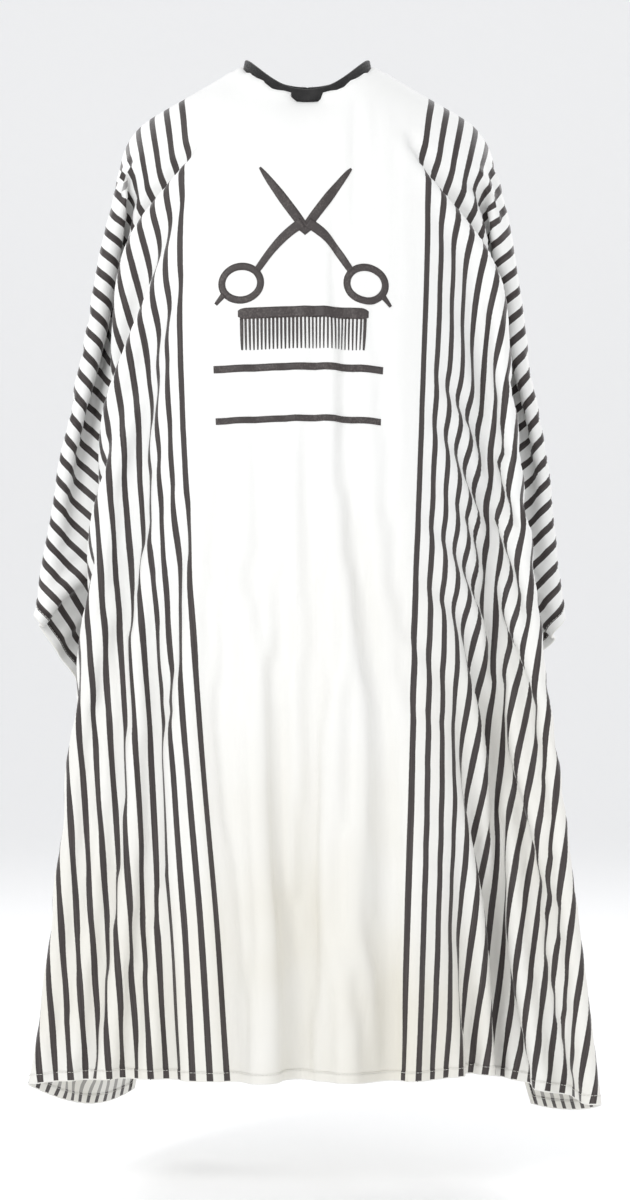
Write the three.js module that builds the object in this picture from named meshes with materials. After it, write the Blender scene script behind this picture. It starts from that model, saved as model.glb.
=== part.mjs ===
// Barber cape, closed at the nape and hanging as it hangs on a wearer.
// One cut sheet of thin polyester, a folded knit neckband with an elastic core, turned hems,
// and a snap tab that laps the left end of the band at the back.
// Millimetres, +Z up. The origin is the middle of the neck opening, level with the sides of the neck,
// and the wearer faces -Y.

import * as THREE from "three";
import { mergeVertices } from "three/addons/utils/BufferGeometryUtils.js";

// ---- driving dimensions ----

// the cut sheet, laid flat: u runs across, v runs from the front hem (-) to the back hem (+)
const sheetWidth = 1400;
const frontLength = 1250; // neck centre to front hem
const backLength = 350; // neck centre to back hem
const clothThick = 2; // sheet with its air and its ripples
const slitGap = 4; // between the two edges of the back slit
const hemBegin = 500; // below here the curve of the front hem is taken up
const cornerCut = 70; // how far the rounded front corners rise
const hemRise = 25; // shallow curve of the front hem toward the sides
const panelHalf = 150; // half of the plain printed panel
const hemWidth = 12;
const hemThick = 3.4;

// neck opening of the closed band
const neckHalfWidth = 78.5;
const neckHalfDepth = 57;
const neckForward = 4; // middle of the loop behind the origin
const frontDrop = 45; // front of the band below its sides
const backDrop = 22; // back of the band below its sides
const saddlePower = 2.2;

// neckband: outer leaf, elastic core, inner leaf
const bandHeight = 17;
const bandLean = 0.2; // rad, toward the neck
const leafThick = 1.2;
const coreThick = 1.2;
const coreInset = 2.5; // core is narrower than the leaves
const layerGap = 0.3;

// closure
const tabLength = 52;
const tabRootLength = 20;
const tabHeight = 16;
const tabLeaf = 1.3;
const snapPitch = 22;
const studCount = 4;
const socketCount = 2;
const snapRadius = 5;
const studHeadRadius = 2.1;
const studHeadHeight = 1.3;
const studBaseThick = 0.8;
const firstStud = 18; // from the nape along the left end of the band
const socketClearance = 0.7; // radial, lets the curved tab lift off
const fit = 0.3; // gap kept between separate pieces
const discGap = 0.6; // a flat disc inside the curve of the band stands off a little more

// the wearer's form that the sheet hangs from
const shoulderReach = 150; // to the middle of the shoulder's round end
const shoulderDrop = 125;
const shoulderRadius = 78;
const wristReach = 265;
const wristDrop = 600;
const armRadius = 35;
const neckRadius = 55;
const shoulderTip = 220; // along u, where the side of the sheet starts to fall

// how fine the settled sheet is
const cell = 48;
const yokeHalf = 125; // half side of the square around the neck that has rings of its own
const settleSteps = 260;
const settleRounds = 12;

// ---- small helpers ----

const deg = Math.PI / 180;
const clamp = (x, a, b) => Math.min(b, Math.max(a, x));
const mix = (a, b, t) => a + (b - a) * t;
const smooth = (t) => {
  const k = clamp(t, 0, 1);
  return k * k * (3 - 2 * k);
};

function along(points, t) {
  if (t <= points[0][0]) return points[0][1];
  for (let i = 1; i < points.length; i++) {
    const [t0, a] = points[i - 1];
    const [t1, b] = points[i];
    if (t <= t1) return mix(a, b, (t - t0) / (t1 - t0));
  }
  return points[points.length - 1][1];
}

function finish(name, color, roughness, metalness = 0) {
  return new THREE.MeshStandardMaterial({ name, color, roughness, metalness });
}

const materials = {
  cloth: finish("cape_cloth", 0xf4f3ef, 0.75),
  stripes: finish("striped_cloth", 0x8a8785, 0.75),
  hem: finish("hem", 0xf1efe8, 0.8),
  knit: finish("knit_band", 0x151516, 0.9),
  elastic: finish("elastic", 0xe8e6e0, 0.8),
  tape: finish("closure_tape", 0x1a1a1b, 0.85),
  snap: finish("snap", 0x1c1c1e, 0.4),
};

const cape = new THREE.Group();
cape.name = "barber_cape";

function addPiece(name, geometry, material) {
  geometry.deleteAttribute("uv");
  geometry.deleteAttribute("normal");
  const mesh = new THREE.Mesh(mergeVertices(geometry, 1e-4), material);
  mesh.geometry.computeVertexNormals();
  mesh.name = name;
  cape.add(mesh);
  return mesh;
}

// ---- neck loop ----

// a point of the loop's lower edge; angle 0 is the wearer's left side (+X), 90 degrees is the nape
function neckPoint(angle) {
  const c = Math.abs(Math.cos(angle)) ** saddlePower;
  const drop = Math.sin(angle) > 0 ? backDrop : frontDrop;
  return new THREE.Vector3(
    neckHalfWidth * Math.cos(angle),
    neckForward + neckHalfDepth * Math.sin(angle),
    -drop * (1 - c),
  );
}

// frame on the loop: point, direction of travel, outward, and up the leaning band
function neckFrame(angle) {
  const step = 1e-3;
  const point = neckPoint(angle);
  const ahead = neckPoint(angle + step).sub(neckPoint(angle - step)).normalize();
  const flatOut = new THREE.Vector3(ahead.y, -ahead.x, 0).normalize();
  const up = new THREE.Vector3().crossVectors(flatOut, ahead).normalize();
  if (up.z < 0) up.negate();
  const lean = up.clone().multiplyScalar(Math.cos(bandLean));
  lean.addScaledVector(flatOut, -Math.sin(bandLean));
  const out = new THREE.Vector3().crossVectors(ahead, lean).normalize();
  if (out.dot(flatOut) < 0) out.negate();
  return { point, ahead, out, up: lean.normalize() };
}

// angle reached after walking a length along the loop from a start angle
function walkNeck(start, length) {
  const pace = 0.25 * Math.sign(length);
  let angle = start;
  let left = Math.abs(length);
  while (left > 1e-9) {
    const part = Math.min(left, Math.abs(pace));
    const speed = neckPoint(angle + 1e-4).distanceTo(neckPoint(angle)) / 1e-4;
    angle += (Math.sign(pace) * part) / speed;
    left -= part;
  }
  return angle;
}

function loopLength() {
  let total = 0;
  for (let k = 0; k < 720; k++) {
    total += neckPoint((k + 1) * 0.5 * deg).distanceTo(neckPoint(k * 0.5 * deg));
  }
  return total;
}

const holeRadius = loopLength() / (2 * Math.PI);

// ---- the sheet as a grid of points ----

function spread(from, to, size) {
  const count = Math.max(1, Math.round(Math.abs(to - from) / size));
  return Array.from({ length: count + 1 }, (_, k) => mix(from, to, k / count));
}

function gridLines(low, high) {
  const middle = spread(-yokeHalf, yokeHalf, cell).slice(1, -1);
  return [...spread(low, -yokeHalf, cell), ...middle, ...spread(yokeHalf, high, cell)];
}

function cutHem(u, v) {
  if (v > -hemBegin) return v;
  const share = Math.abs(u) / (sheetWidth / 2);
  const rise = hemRise * smooth((share - 0.11) / 0.53) + cornerCut * clamp((share - 0.6) / 0.4, 0, 1) ** 2;
  return -hemBegin - (-v - hemBegin) * (1 - rise / (frontLength - hemBegin));
}

const lineU = gridLines(-sheetWidth / 2, sheetWidth / 2);
const lineV = gridLines(-frontLength, backLength);
const countU = lineU.length;
const countV = lineV.length;
const at = (i, j) => i * countV + j;

const flat = [];
const live = [];
const pinned = [];
for (let i = 0; i < countU; i++) {
  for (let j = 0; j < countV; j++) {
    let u = lineU[i];
    let v = cutHem(u, lineV[j]);
    if (v > 0 && (i === countU / 2 || i === countU / 2 - 1)) u = (Math.sign(u) * slitGap) / 2;
    const radius = Math.hypot(u, v);
    const alive = radius >= holeRadius - cell / 2;
    const rim = alive && radius < holeRadius + cell / 4;
    if (rim) {
      u *= holeRadius / radius;
      v *= holeRadius / radius;
    }
    flat.push([u, v]);
    live.push(alive);
    pinned.push(rim);
  }
}

// ---- links that keep the cut size ----

// step on the grid, how many groups so that no two links of one share a point, stiffness
const linkPlan = [
  { step: [1, 0], groups: 2, stiffness: 1 },
  { step: [0, 1], groups: 2, stiffness: 1 },
  { step: [1, 1], groups: 2, stiffness: 0.4 },
  { step: [1, -1], groups: 2, stiffness: 0.4 },
  { step: [2, 0], groups: 4, stiffness: 0.06, onlyPush: true },
  { step: [0, 2], groups: 4, stiffness: 0.06, onlyPush: true },
];

function linkGroup({ step: [di, dj], groups, stiffness, onlyPush = false }, start) {
  const links = [];
  for (let i = 0; i + di < countU; i++) {
    for (let j = Math.max(0, -dj); j < countV && j + dj < countV; j++) {
      if ((di > 0 ? i : j) % groups !== start) continue;
      const a = at(i, j);
      const b = at(i + di, j + dj);
      if (!live[a] || !live[b]) continue;
      const acrossSlit = flat[a][0] < 0 !== flat[b][0] < 0;
      if (acrossSlit && flat[a][1] > 0 && flat[b][1] > 0) continue;
      const rest = Math.hypot(flat[b][0] - flat[a][0], flat[b][1] - flat[a][1]);
      links.push({ a, b, rest });
    }
  }
  return { links, stiffness, onlyPush };
}

const linkGroups = linkPlan.flatMap((plan) =>
  Array.from({ length: plan.groups }, (_, start) => linkGroup(plan, start)),
);

// ---- where the folds are led ----

// x of the printed panel's edge and of the front's fall, against the length below the neck
const panelEdge = {
  right: { x: [[100, 155], [350, 155], [600, 140], [850, 125], [1050, 100], [1260, 90]], y: -150 },
  left: { x: [[100, 145], [250, 139], [450, 128], [650, 117], [1260, 114]], y: -160 },
};
// rays from the shoulder tip: angle in the cut, and how far a unit of ray goes outward and back
const sideRays = {
  right: [[20, 0.1, 0.3], [41, 0.19, 0.02], [60, -0.05, 0.25], [80, 0.089, -0.07], [90, -0.048, -0.085]],
  left: [
    [20, 0.1, 0.3],
    [41, 0.16, 0.02],
    [58, -0.05, 0.25],
    [75, 0.112, -0.1],
    [84, 0.012, -0.03],
    [90, -0.03, -0.07],
  ],
};
const tipX = shoulderTip - 2;
const tipY = -30;

function sideTarget(rays, u, v) {
  const reach = Math.hypot(Math.abs(u) - shoulderTip, v);
  const angle = Math.atan2(-v, Math.abs(u) - shoulderTip) / deg;
  const out = along(rays.map((r) => [r[0], r[1]]), angle);
  const back = along(rays.map((r) => [r[0], r[2]]), angle);
  return {
    x: Math.sign(u) * (tipX + reach * out),
    y: tipY * clamp(reach / 200, 0, 1) + reach * back,
    hold: clamp((reach - 40) / 100, 0, 1) * clamp((angle - 30) / 8, 0, 1),
  };
}

function frontTarget(edge, u, v) {
  const a = Math.abs(u);
  const below = -v;
  const edgeX = along(edge.x, below);
  const edgeY = along([[0, -90], [250, -125], [600, edge.y + 20], [1260, edge.y]], below);
  const middleY = along([[0, -95], [250, -135], [600, -150], [1260, -165]], below);
  const sideX = tipX - 54 * clamp(below / 1260, 0, 1);
  const sideY = tipY - 100 * clamp(below / 1000, 0, 1);
  const wave = 20 * clamp((below - 550) / 700, 0, 1) * Math.cos((u / panelHalf) * 2 * Math.PI + 0.6);
  const past = (a - panelHalf) / (shoulderTip - panelHalf);
  return {
    x: Math.sign(u) * (past <= 0 ? (edgeX * a) / panelHalf : mix(edgeX, sideX, past)),
    y: past <= 0 ? mix(middleY, edgeY, a / panelHalf) + wave : mix(edgeY, sideY, past),
    hold: clamp((below - 60) / 120, 0, 1),
  };
}

function foldTarget(u, v) {
  const side = u < 0 ? "right" : "left";
  if (Math.abs(u) > shoulderTip) return sideTarget(sideRays[side], u, v);
  return frontTarget(panelEdge[side], u, v);
}

// ---- the form under the sheet ----

const rods = [[[0, 20, 100], [0, 30, -100], neckRadius]];
for (const s of [-1, 1]) {
  rods.push([[s * 50, 5, -68], [s * shoulderReach, 10, -shoulderDrop], shoulderRadius]);
  rods.push([[s * 165, 25, -105], [s * wristReach, 30, -wristDrop], armRadius]);
}
const eggs = [
  [[0, 20, -330], [185, 125, 330]],
  [[0, 30, -750], [170, 110, 380]],
];
const standOff = 4;

// how deep a point is in the form, and the way out
function rodDepth(p, o, [a, b, radius]) {
  const ab = [b[0] - a[0], b[1] - a[1], b[2] - a[2]];
  const ap = [p[o] - a[0], p[o + 1] - a[1], p[o + 2] - a[2]];
  const len = ab[0] ** 2 + ab[1] ** 2 + ab[2] ** 2;
  const t = clamp((ap[0] * ab[0] + ap[1] * ab[1] + ap[2] * ab[2]) / len, 0, 1);
  const d = [ap[0] - ab[0] * t, ap[1] - ab[1] * t, ap[2] - ab[2] * t];
  const far = Math.hypot(...d) + 1e-6;
  return [radius - far, d[0] / far, d[1] / far, d[2] / far];
}

function eggDepth(p, o, [c, s]) {
  const q = [(p[o] - c[0]) / s[0], (p[o + 1] - c[1]) / s[1], (p[o + 2] - c[2]) / s[2]];
  const k = Math.hypot(...q) + 1e-9;
  const g = [q[0] / s[0], q[1] / s[1], q[2] / s[2]];
  const len = Math.hypot(...g) + 1e-9;
  return [((1 - k) * k) / len, g[0] / len, g[1] / len, g[2] / len];
}

function pushOut(p, before, o, [depth, nx, ny, nz]) {
  const push = depth + standOff;
  if (push <= 0) return;
  p[o] += push * nx;
  p[o + 1] += push * ny;
  p[o + 2] += push * nz;
  const move = [p[o] - before[o], p[o + 1] - before[o + 1], p[o + 2] - before[o + 2]];
  const lift = move[0] * nx + move[1] * ny + move[2] * nz;
  const slide = [move[0] - lift * nx, move[1] - lift * ny, move[2] - lift * nz];
  const grip = Math.min((0.3 * push) / (Math.hypot(...slide) + 1e-9), 1);
  for (let k = 0; k < 3; k++) p[o + k] -= grip * slide[k];
}

// ---- settling ----

function solveLinks(group, p, weight) {
  for (const { a, b, rest } of group.links) {
    const free = weight[a] + weight[b];
    if (!free) continue;
    const d = [p[3 * b] - p[3 * a], p[3 * b + 1] - p[3 * a + 1], p[3 * b + 2] - p[3 * a + 2]];
    const now = Math.hypot(...d) + 1e-9;
    let pull = ((group.stiffness / free) * (now - rest)) / now;
    if (group.onlyPush) pull = Math.min(pull, 0);
    for (let k = 0; k < 3; k++) {
      p[3 * a + k] += weight[a] * pull * d[k];
      p[3 * b + k] -= weight[b] * pull * d[k];
    }
  }
}

// two stretches of the sheet that meet keep some room between them
function keepApart(p, weight) {
  const near = 0.8 * cell;
  const own = 1.5 * cell;
  for (let a = 0; a < flat.length; a++) {
    if (!live[a]) continue;
    for (let b = a + 1; b < flat.length; b++) {
      if (!live[b] || !(weight[a] + weight[b])) continue;
      const dz = p[3 * b + 2] - p[3 * a + 2];
      if (Math.abs(dz) > near) continue;
      const dx = p[3 * b] - p[3 * a];
      const dy = p[3 * b + 1] - p[3 * a + 1];
      const gap = Math.hypot(dx, dy, dz) + 1e-9;
      if (gap > near) continue;
      if (Math.hypot(flat[b][0] - flat[a][0], flat[b][1] - flat[a][1]) < own) continue;
      const push = (0.5 * (near - gap)) / gap / (weight[a] + weight[b]);
      [dx, dy, dz].forEach((d, k) => {
        p[3 * a + k] -= weight[a] * push * d;
        p[3 * b + k] += weight[b] * push * d;
      });
    }
  }
}

function startPoint(u, v) {
  const slope = 25 * deg;
  const angle = Math.atan2(v, u);
  const ring = neckPoint(angle);
  const past = Math.max(0, Math.hypot(u, v) - holeRadius);
  return [
    ring.x + Math.cos(angle) * past * Math.cos(slope),
    ring.y + Math.sin(angle) * past * Math.cos(slope),
    ring.z - past * Math.sin(slope),
  ];
}

const pace = {
  step: 1 / 90, // s
  fallUntil: 0.6, // share of the steps; after it the sheet comes to rest under less weight
  falling: { gravity: 9800, keep: 0.985 },
  resting: { gravity: 2000, keep: 0.94 },
  fastest: 3000,
  slack: 1.04, // how far past its cut length a point may be from the ring in the first half
};

const ramp = (done, from, length) => clamp((done - from) / length, 0, 1);

// gravity, the led folds, and the room that the sides keep to
function pull(p, speed, n, target, done) {
  const o = 3 * n;
  const [u, v] = flat[n];
  const { gravity, keep } = done < pace.fallUntil ? pace.falling : pace.resting;
  speed[o + 2] -= gravity * pace.step;
  for (let k = 0; k < 3; k++) {
    speed[o + k] *= keep;
    p[o + k] += speed[o + k] * pace.step;
  }
  const led = 0.05 * ramp(done, 0.1, 0.4) * target.hold;
  p[o] += led * (target.x - p[o]);
  p[o + 1] += led * (target.y - p[o + 1]);
  if (v > 50 && Math.abs(u) < 160) p[o] += 0.1 * (u - p[o]);
  const gathered = 0.06 * ramp(done, 0.5, 0.4);
  const room = shoulderTip + 4 + 0.195 * clamp(-p[o + 2] - 81, 0, 600);
  p[o] -= Math.sign(p[o]) * gathered * Math.max(0, Math.abs(p[o]) - room);
  p[o + 1] -= gathered * Math.max(0, p[o + 1] - 190);
}

// no point gets further from the neck ring than it is in the cut
function tether(p, n, ring, most) {
  const o = 3 * n;
  const d = [0, 1, 2].map((k) => p[o + k] - ring[k]);
  const share = Math.min(1, most / (Math.hypot(...d) + 1e-9));
  for (let k = 0; k < 3; k++) p[o + k] = ring[k] + share * d[k];
}

function settle() {
  const p = new Float64Array(3 * flat.length);
  const before = new Float64Array(3 * flat.length);
  const speed = new Float64Array(3 * flat.length);
  const weight = flat.map((_, n) => (live[n] && !pinned[n] ? 1 : 0));
  const rings = flat.map(([u, v]) => neckPoint(Math.atan2(v, u)).toArray());
  const targets = flat.map(([u, v]) => foldTarget(u, v));
  const past = flat.map(([u, v]) => Math.max(1e-3, Math.hypot(u, v) - holeRadius));
  flat.forEach(([u, v], n) => p.set(pinned[n] ? rings[n] : startPoint(u, v), 3 * n));
  const free = flat.map((_, n) => n).filter((n) => weight[n]);
  const tethered = free.filter((n) => flat[n][1] <= 20);
  for (let step = 0; step < settleSteps; step++) {
    const done = step / settleSteps;
    before.set(p);
    for (const n of free) pull(p, speed, n, targets[n], done);
    for (let round = 0; round < settleRounds; round++) {
      if (round % 6 === 0) keepApart(p, weight);
      for (const group of linkGroups) solveLinks(group, p, weight);
      for (const n of tethered) tether(p, n, rings[n], past[n] * (done > 0.5 ? 1 : pace.slack));
      if (round % 3 < 2 && round < settleRounds - 1) continue;
      for (const n of free) {
        for (const rod of rods) pushOut(p, before, 3 * n, rodDepth(p, 3 * n, rod));
        for (const egg of eggs) pushOut(p, before, 3 * n, eggDepth(p, 3 * n, egg));
      }
    }
    for (const n of free) {
      const moved = [0, 1, 2].map((k) => (p[3 * n + k] - before[3 * n + k]) / pace.step);
      const share = Math.min(1, pace.fastest / (Math.hypot(...moved) + 1e-9));
      for (let k = 0; k < 3; k++) speed[3 * n + k] = share * moved[k];
    }
  }
  return p;
}

const settled = settle();

// ---- reading the settled sheet between its points ----

function place(lines, x) {
  let k = 0;
  while (k < lines.length - 2 && x > lines[k + 1]) k++;
  return [k, clamp((x - lines[k]) / (lines[k + 1] - lines[k]), 0, 1)];
}

// position at grid coordinates: the cut's own lines, before the hem curve and the slit
function sheetPoint(u, v) {
  const [i, s] = place(lineU, u);
  const [j, t] = place(lineV, v);
  const corner = (a, b) => new THREE.Vector3().fromArray(settled, 3 * at(a, b));
  const low = corner(i, j).lerp(corner(i + 1, j), s);
  const high = corner(i, j + 1).lerp(corner(i + 1, j + 1), s);
  return low.lerp(high, t);
}

function sheetNormal(u, v) {
  const reach = cell / 2;
  let left = Math.max(u - reach, lineU[0]);
  let right = Math.min(u + reach, lineU[countU - 1]);
  if (v > 0 && u > 0) left = Math.max(left, lineU[countU / 2]);
  if (v > 0 && u < 0) right = Math.min(right, lineU[countU / 2 - 1]);
  const acrossU = sheetPoint(right, v).sub(sheetPoint(left, v));
  const alongV = sheetPoint(u, Math.min(v + reach, backLength));
  alongV.sub(sheetPoint(u, Math.max(v - reach, -frontLength)));
  return new THREE.Vector3().crossVectors(acrossU, alongV).normalize();
}

// ---- closed shells ----

function volumeOf(position, index) {
  let six = 0;
  const p = (k) => new THREE.Vector3(position[3 * k], position[3 * k + 1], position[3 * k + 2]);
  for (let k = 0; k < index.length; k += 3) {
    six += p(index[k]).dot(p(index[k + 1]).cross(p(index[k + 2])));
  }
  return six / 6;
}

// rows of matching points on the two faces, as one closed solid that faces out
function shell(topRows, bottomRows) {
  const m = topRows.length;
  const n = topRows[0].length;
  const position = [...topRows.flat(), ...bottomRows.flat()].flatMap((p) => [p.x, p.y, p.z]);
  const top = (i, j) => i * n + j;
  const bottom = (i, j) => m * n + i * n + j;
  const index = [];
  const quad = (a, b, c, d) => index.push(a, b, c, a, c, d);
  for (let i = 0; i + 1 < m; i++) {
    for (let j = 0; j + 1 < n; j++) {
      quad(top(i, j), top(i + 1, j), top(i + 1, j + 1), top(i, j + 1));
      quad(bottom(i, j), bottom(i, j + 1), bottom(i + 1, j + 1), bottom(i + 1, j));
    }
    quad(top(i, 0), bottom(i, 0), bottom(i + 1, 0), top(i + 1, 0));
    quad(top(i, n - 1), top(i + 1, n - 1), bottom(i + 1, n - 1), bottom(i, n - 1));
  }
  for (let j = 0; j + 1 < n; j++) {
    quad(top(0, j), top(0, j + 1), bottom(0, j + 1), bottom(0, j));
    quad(top(m - 1, j), bottom(m - 1, j), bottom(m - 1, j + 1), top(m - 1, j + 1));
  }
  if (volumeOf(position, index) < 0) index.reverse();
  const geometry = new THREE.BufferGeometry();
  geometry.setAttribute("position", new THREE.Float32BufferAttribute(position, 3));
  geometry.setIndex(index);
  return geometry;
}

function sheetShell(us, vs, thick) {
  const face = (offset) =>
    us.map((u) => vs.map((v) => sheetPoint(u, v).addScaledVector(sheetNormal(u, v), offset)));
  return shell(face(thick / 2), face(-thick / 2));
}

// the grid lines of a stretch, its two ends drawn in by a margin
function stretch(lines, from, to, marginFrom = fit, marginTo = fit) {
  const inner = lines.filter((x) => x > from + marginFrom + 2 && x < to - marginTo - 2);
  return [from + marginFrom, ...inner, to - marginTo];
}

// a stretch across the cut on one side, given as distances from the middle
function across(side, from, to, marginFrom = fit, marginTo = fit) {
  const right = stretch(lineU, from, to, marginFrom, marginTo);
  return side === "left" ? right : right.map((u) => -u).reverse();
}

// ---- the sheet, in panels that each stay simple to collide with ----

const halfWidth = sheetWidth / 2;
const sideSplit = lineU[countU / 2 + 7];
const slitLine = lineU[countU / 2];
const slitHem = (hemWidth * (lineU[countU / 2 + 1] - slitLine)) / (lineU[countU / 2 + 1] - slitGap / 2);
const inHem = hemWidth + 3 * fit;

function addFrontCentre() {
  const us = stretch(lineU, -yokeHalf, yokeHalf);
  const vs = stretch(lineV, -frontLength, -yokeHalf, inHem);
  addPiece("cloth_front_centre", sheetShell(us, vs, clothThick), materials.cloth);
}

function addSidePanels(side) {
  const front = stretch(lineV, -frontLength, -yokeHalf, inHem);
  const shoulder = stretch(lineV, -yokeHalf, yokeHalf);
  const back = stretch(lineV, yokeHalf, backLength, fit, inHem);
  const panels = [
    ["front", across(side, yokeHalf, sideSplit), front],
    ["side", across(side, sideSplit, halfWidth, fit, inHem), front],
    ["shoulder", across(side, yokeHalf, halfWidth, fit, inHem), shoulder],
    ["back", across(side, slitLine, halfWidth, slitHem + 3 * fit, inHem), back],
  ];
  for (const [name, us, vs] of panels) {
    addPiece("cloth_" + name + "_" + side, sheetShell(us, vs, clothThick), materials.stripes);
  }
}

// rings from the neck seam out to the square that the panels start from
function addYoke() {
  const middle = countU / 2;
  const low = lineU.indexOf(-yokeHalf);
  const high = lineU.indexOf(yokeHalf);
  const frontRow = lineV.indexOf(-yokeHalf);
  const backRow = lineV.indexOf(yokeHalf);
  const walk = [];
  for (let i = middle - 1; i > low; i--) walk.push([i, backRow]);
  for (let j = backRow; j > frontRow; j--) walk.push([low, j]);
  for (let i = low; i < high; i++) walk.push([i, frontRow]);
  for (let j = frontRow; j < backRow; j++) walk.push([high, j]);
  for (let i = high; i >= middle; i--) walk.push([i, backRow]);
  const angleOf = ([i, j]) => {
    const [u, v] = flat[at(i, j)];
    const angle = Math.atan2(v, u);
    return angle < 90 * deg ? angle + 360 * deg : angle;
  };
  const inset = 1 - (fit + 0.2) / yokeHalf;
  const columns = [];
  walk.forEach((here, n) => {
    const parts = n + 1 < walk.length ? [0, 0.5] : [0];
    for (const t of parts) {
      const next = walk[Math.min(n + 1, walk.length - 1)];
      const u = mix(lineU[here[0]], lineU[next[0]], t);
      const v = mix(lineV[here[1]], lineV[next[1]], t);
      const angle = mix(angleOf(here), angleOf(next), t);
      const edge = sheetPoint(u, v);
      const ring = neckPoint(angle).addScaledVector(neckFrame(angle).up, -seamDrop);
      columns.push({ edge: ring.clone().lerp(edge, inset), ring, normal: sheetNormal(u, v), angle });
    }
  });
  const steps = [0, 0.33, 0.66, 1];
  const face = (offset) =>
    columns.map(({ edge, ring, normal, angle }) => {
      const slope = edge.clone().sub(ring).normalize();
      const start = new THREE.Vector3().crossVectors(slope, neckFrame(angle).ahead).normalize();
      if (start.z < 0) start.negate();
      const end = normal.z < -0.2 ? normal.clone().negate() : normal.clone();
      return steps.map((t) => {
        const way = start.clone().lerp(end, t).normalize();
        return ring.clone().lerp(edge, t).addScaledVector(way, offset);
      });
    });
  addPiece("cloth_neck", shell(face(clothThick / 2), face(-clothThick / 2)), materials.cloth);
}

function addHems() {
  const endV = stretch(lineV, -frontLength, backLength, inHem, inHem);
  const frontUs = stretch(lineU, -halfWidth, halfWidth, 0, 0);
  const frontVs = [-frontLength, -frontLength + hemWidth];
  addPiece("hem_front", sheetShell(frontUs, frontVs, hemThick), materials.hem);
  for (const side of ["left", "right"]) {
    const edge = across(side, halfWidth - hemWidth, halfWidth, 0, 0);
    addPiece("hem_side_" + side, sheetShell(edge, endV, hemThick), materials.hem);
    const back = across(side, slitLine, halfWidth, 0, 0);
    const backVs = [backLength - hemWidth, backLength];
    addPiece("hem_back_" + side, sheetShell(back, backVs, hemThick), materials.hem);
    const slit = across(side, slitLine, slitLine + slitHem, 0, 0);
    const slitVs = stretch(lineV, yokeHalf, backLength, fit, inHem);
    addPiece("hem_slit_" + side, sheetShell(slit, slitVs, hemThick), materials.hem);
  }
}

// ---- neckband ----

const nape = 90 * deg;
const seamDrop = 1.2; // the seam lies just below the band's edge
const bandEnd = slitGap / 2;
const outerFace = coreThick / 2 + layerGap + leafThick;

// a strip that follows the loop; offsets and heights are measured from the band's middle and lower edge
function strip(angles, low, high, inner, outer) {
  const row = (angle, offset) => {
    const { point, out, up } = neckFrame(angle);
    const base = point.clone().addScaledVector(out, offset);
    return [low, high].map((h) => base.clone().addScaledVector(up, h));
  };
  return shell(
    angles.map((a, k) => row(a, outer(k / (angles.length - 1)))),
    angles.map((a, k) => row(a, inner(k / (angles.length - 1)))),
  );
}

function anglesBetween(from, to, step) {
  const count = Math.max(1, Math.round(Math.abs(to - from) / step));
  return Array.from({ length: count + 1 }, (_, k) => mix(from, to, k / count));
}

const level = (x) => () => x;

function addBand() {
  const from = walkNeck(nape, bandEnd);
  const to = walkNeck(nape + 360 * deg, -bandEnd);
  const angles = anglesBetween(from, to, 5 * deg);
  const leaf = (name, a, b, inset, material) => {
    const geometry = strip(angles, inset, bandHeight - inset, level(a), level(b));
    addPiece(name, geometry, material);
  };
  leaf("neckband_outer", outerFace - leafThick, outerFace, 0, materials.knit);
  leaf("neckband_elastic", -coreThick / 2, coreThick / 2, coreInset, materials.elastic);
  leaf("neckband_inner", -outerFace, -outerFace + leafThick, 0, materials.knit);
}

// ---- snaps and tab ----

const studBase = outerFace + fit;
const studTop = studBase + studBaseThick + studHeadHeight;
const tabInner = studTop + fit;
const tabOuter = tabInner + 2 * tabLeaf + layerGap;
const middleHeight = bandHeight / 2;

// a turned piece standing on the band: profile points are radius and offset from the band's middle
function turned(name, profile, arc, material) {
  const { point, ahead, out, up } = neckFrame(walkNeck(nape, -arc));
  const points = profile.map(([r, h]) => new THREE.Vector2(r, h));
  const geometry = new THREE.LatheGeometry(points, 20);
  geometry.deleteAttribute("uv");
  geometry.deleteAttribute("normal");
  const merged = mergeVertices(geometry, 1e-4);
  const index = [...merged.index.array];
  const whole = [];
  for (let k = 0; k < index.length; k += 3) {
    const [a, b, c] = index.slice(k, k + 3);
    if (a !== b && b !== c && a !== c) whole.push(a, b, c);
  }
  if (volumeOf(merged.attributes.position.array, whole) < 0) whole.reverse();
  merged.setIndex(whole);
  const third = new THREE.Vector3().crossVectors(ahead, out);
  const frame = new THREE.Matrix4().makeBasis(ahead, out, third);
  const mesh = addPiece(name, merged, material);
  mesh.applyMatrix4(frame.setPosition(point.clone().addScaledVector(up, middleHeight)));
}

function disc(radius, from, to) {
  const round = 0.25;
  return [[0, from], [radius, from], [radius, to - round], [radius - round, to], [0, to]];
}

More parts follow.
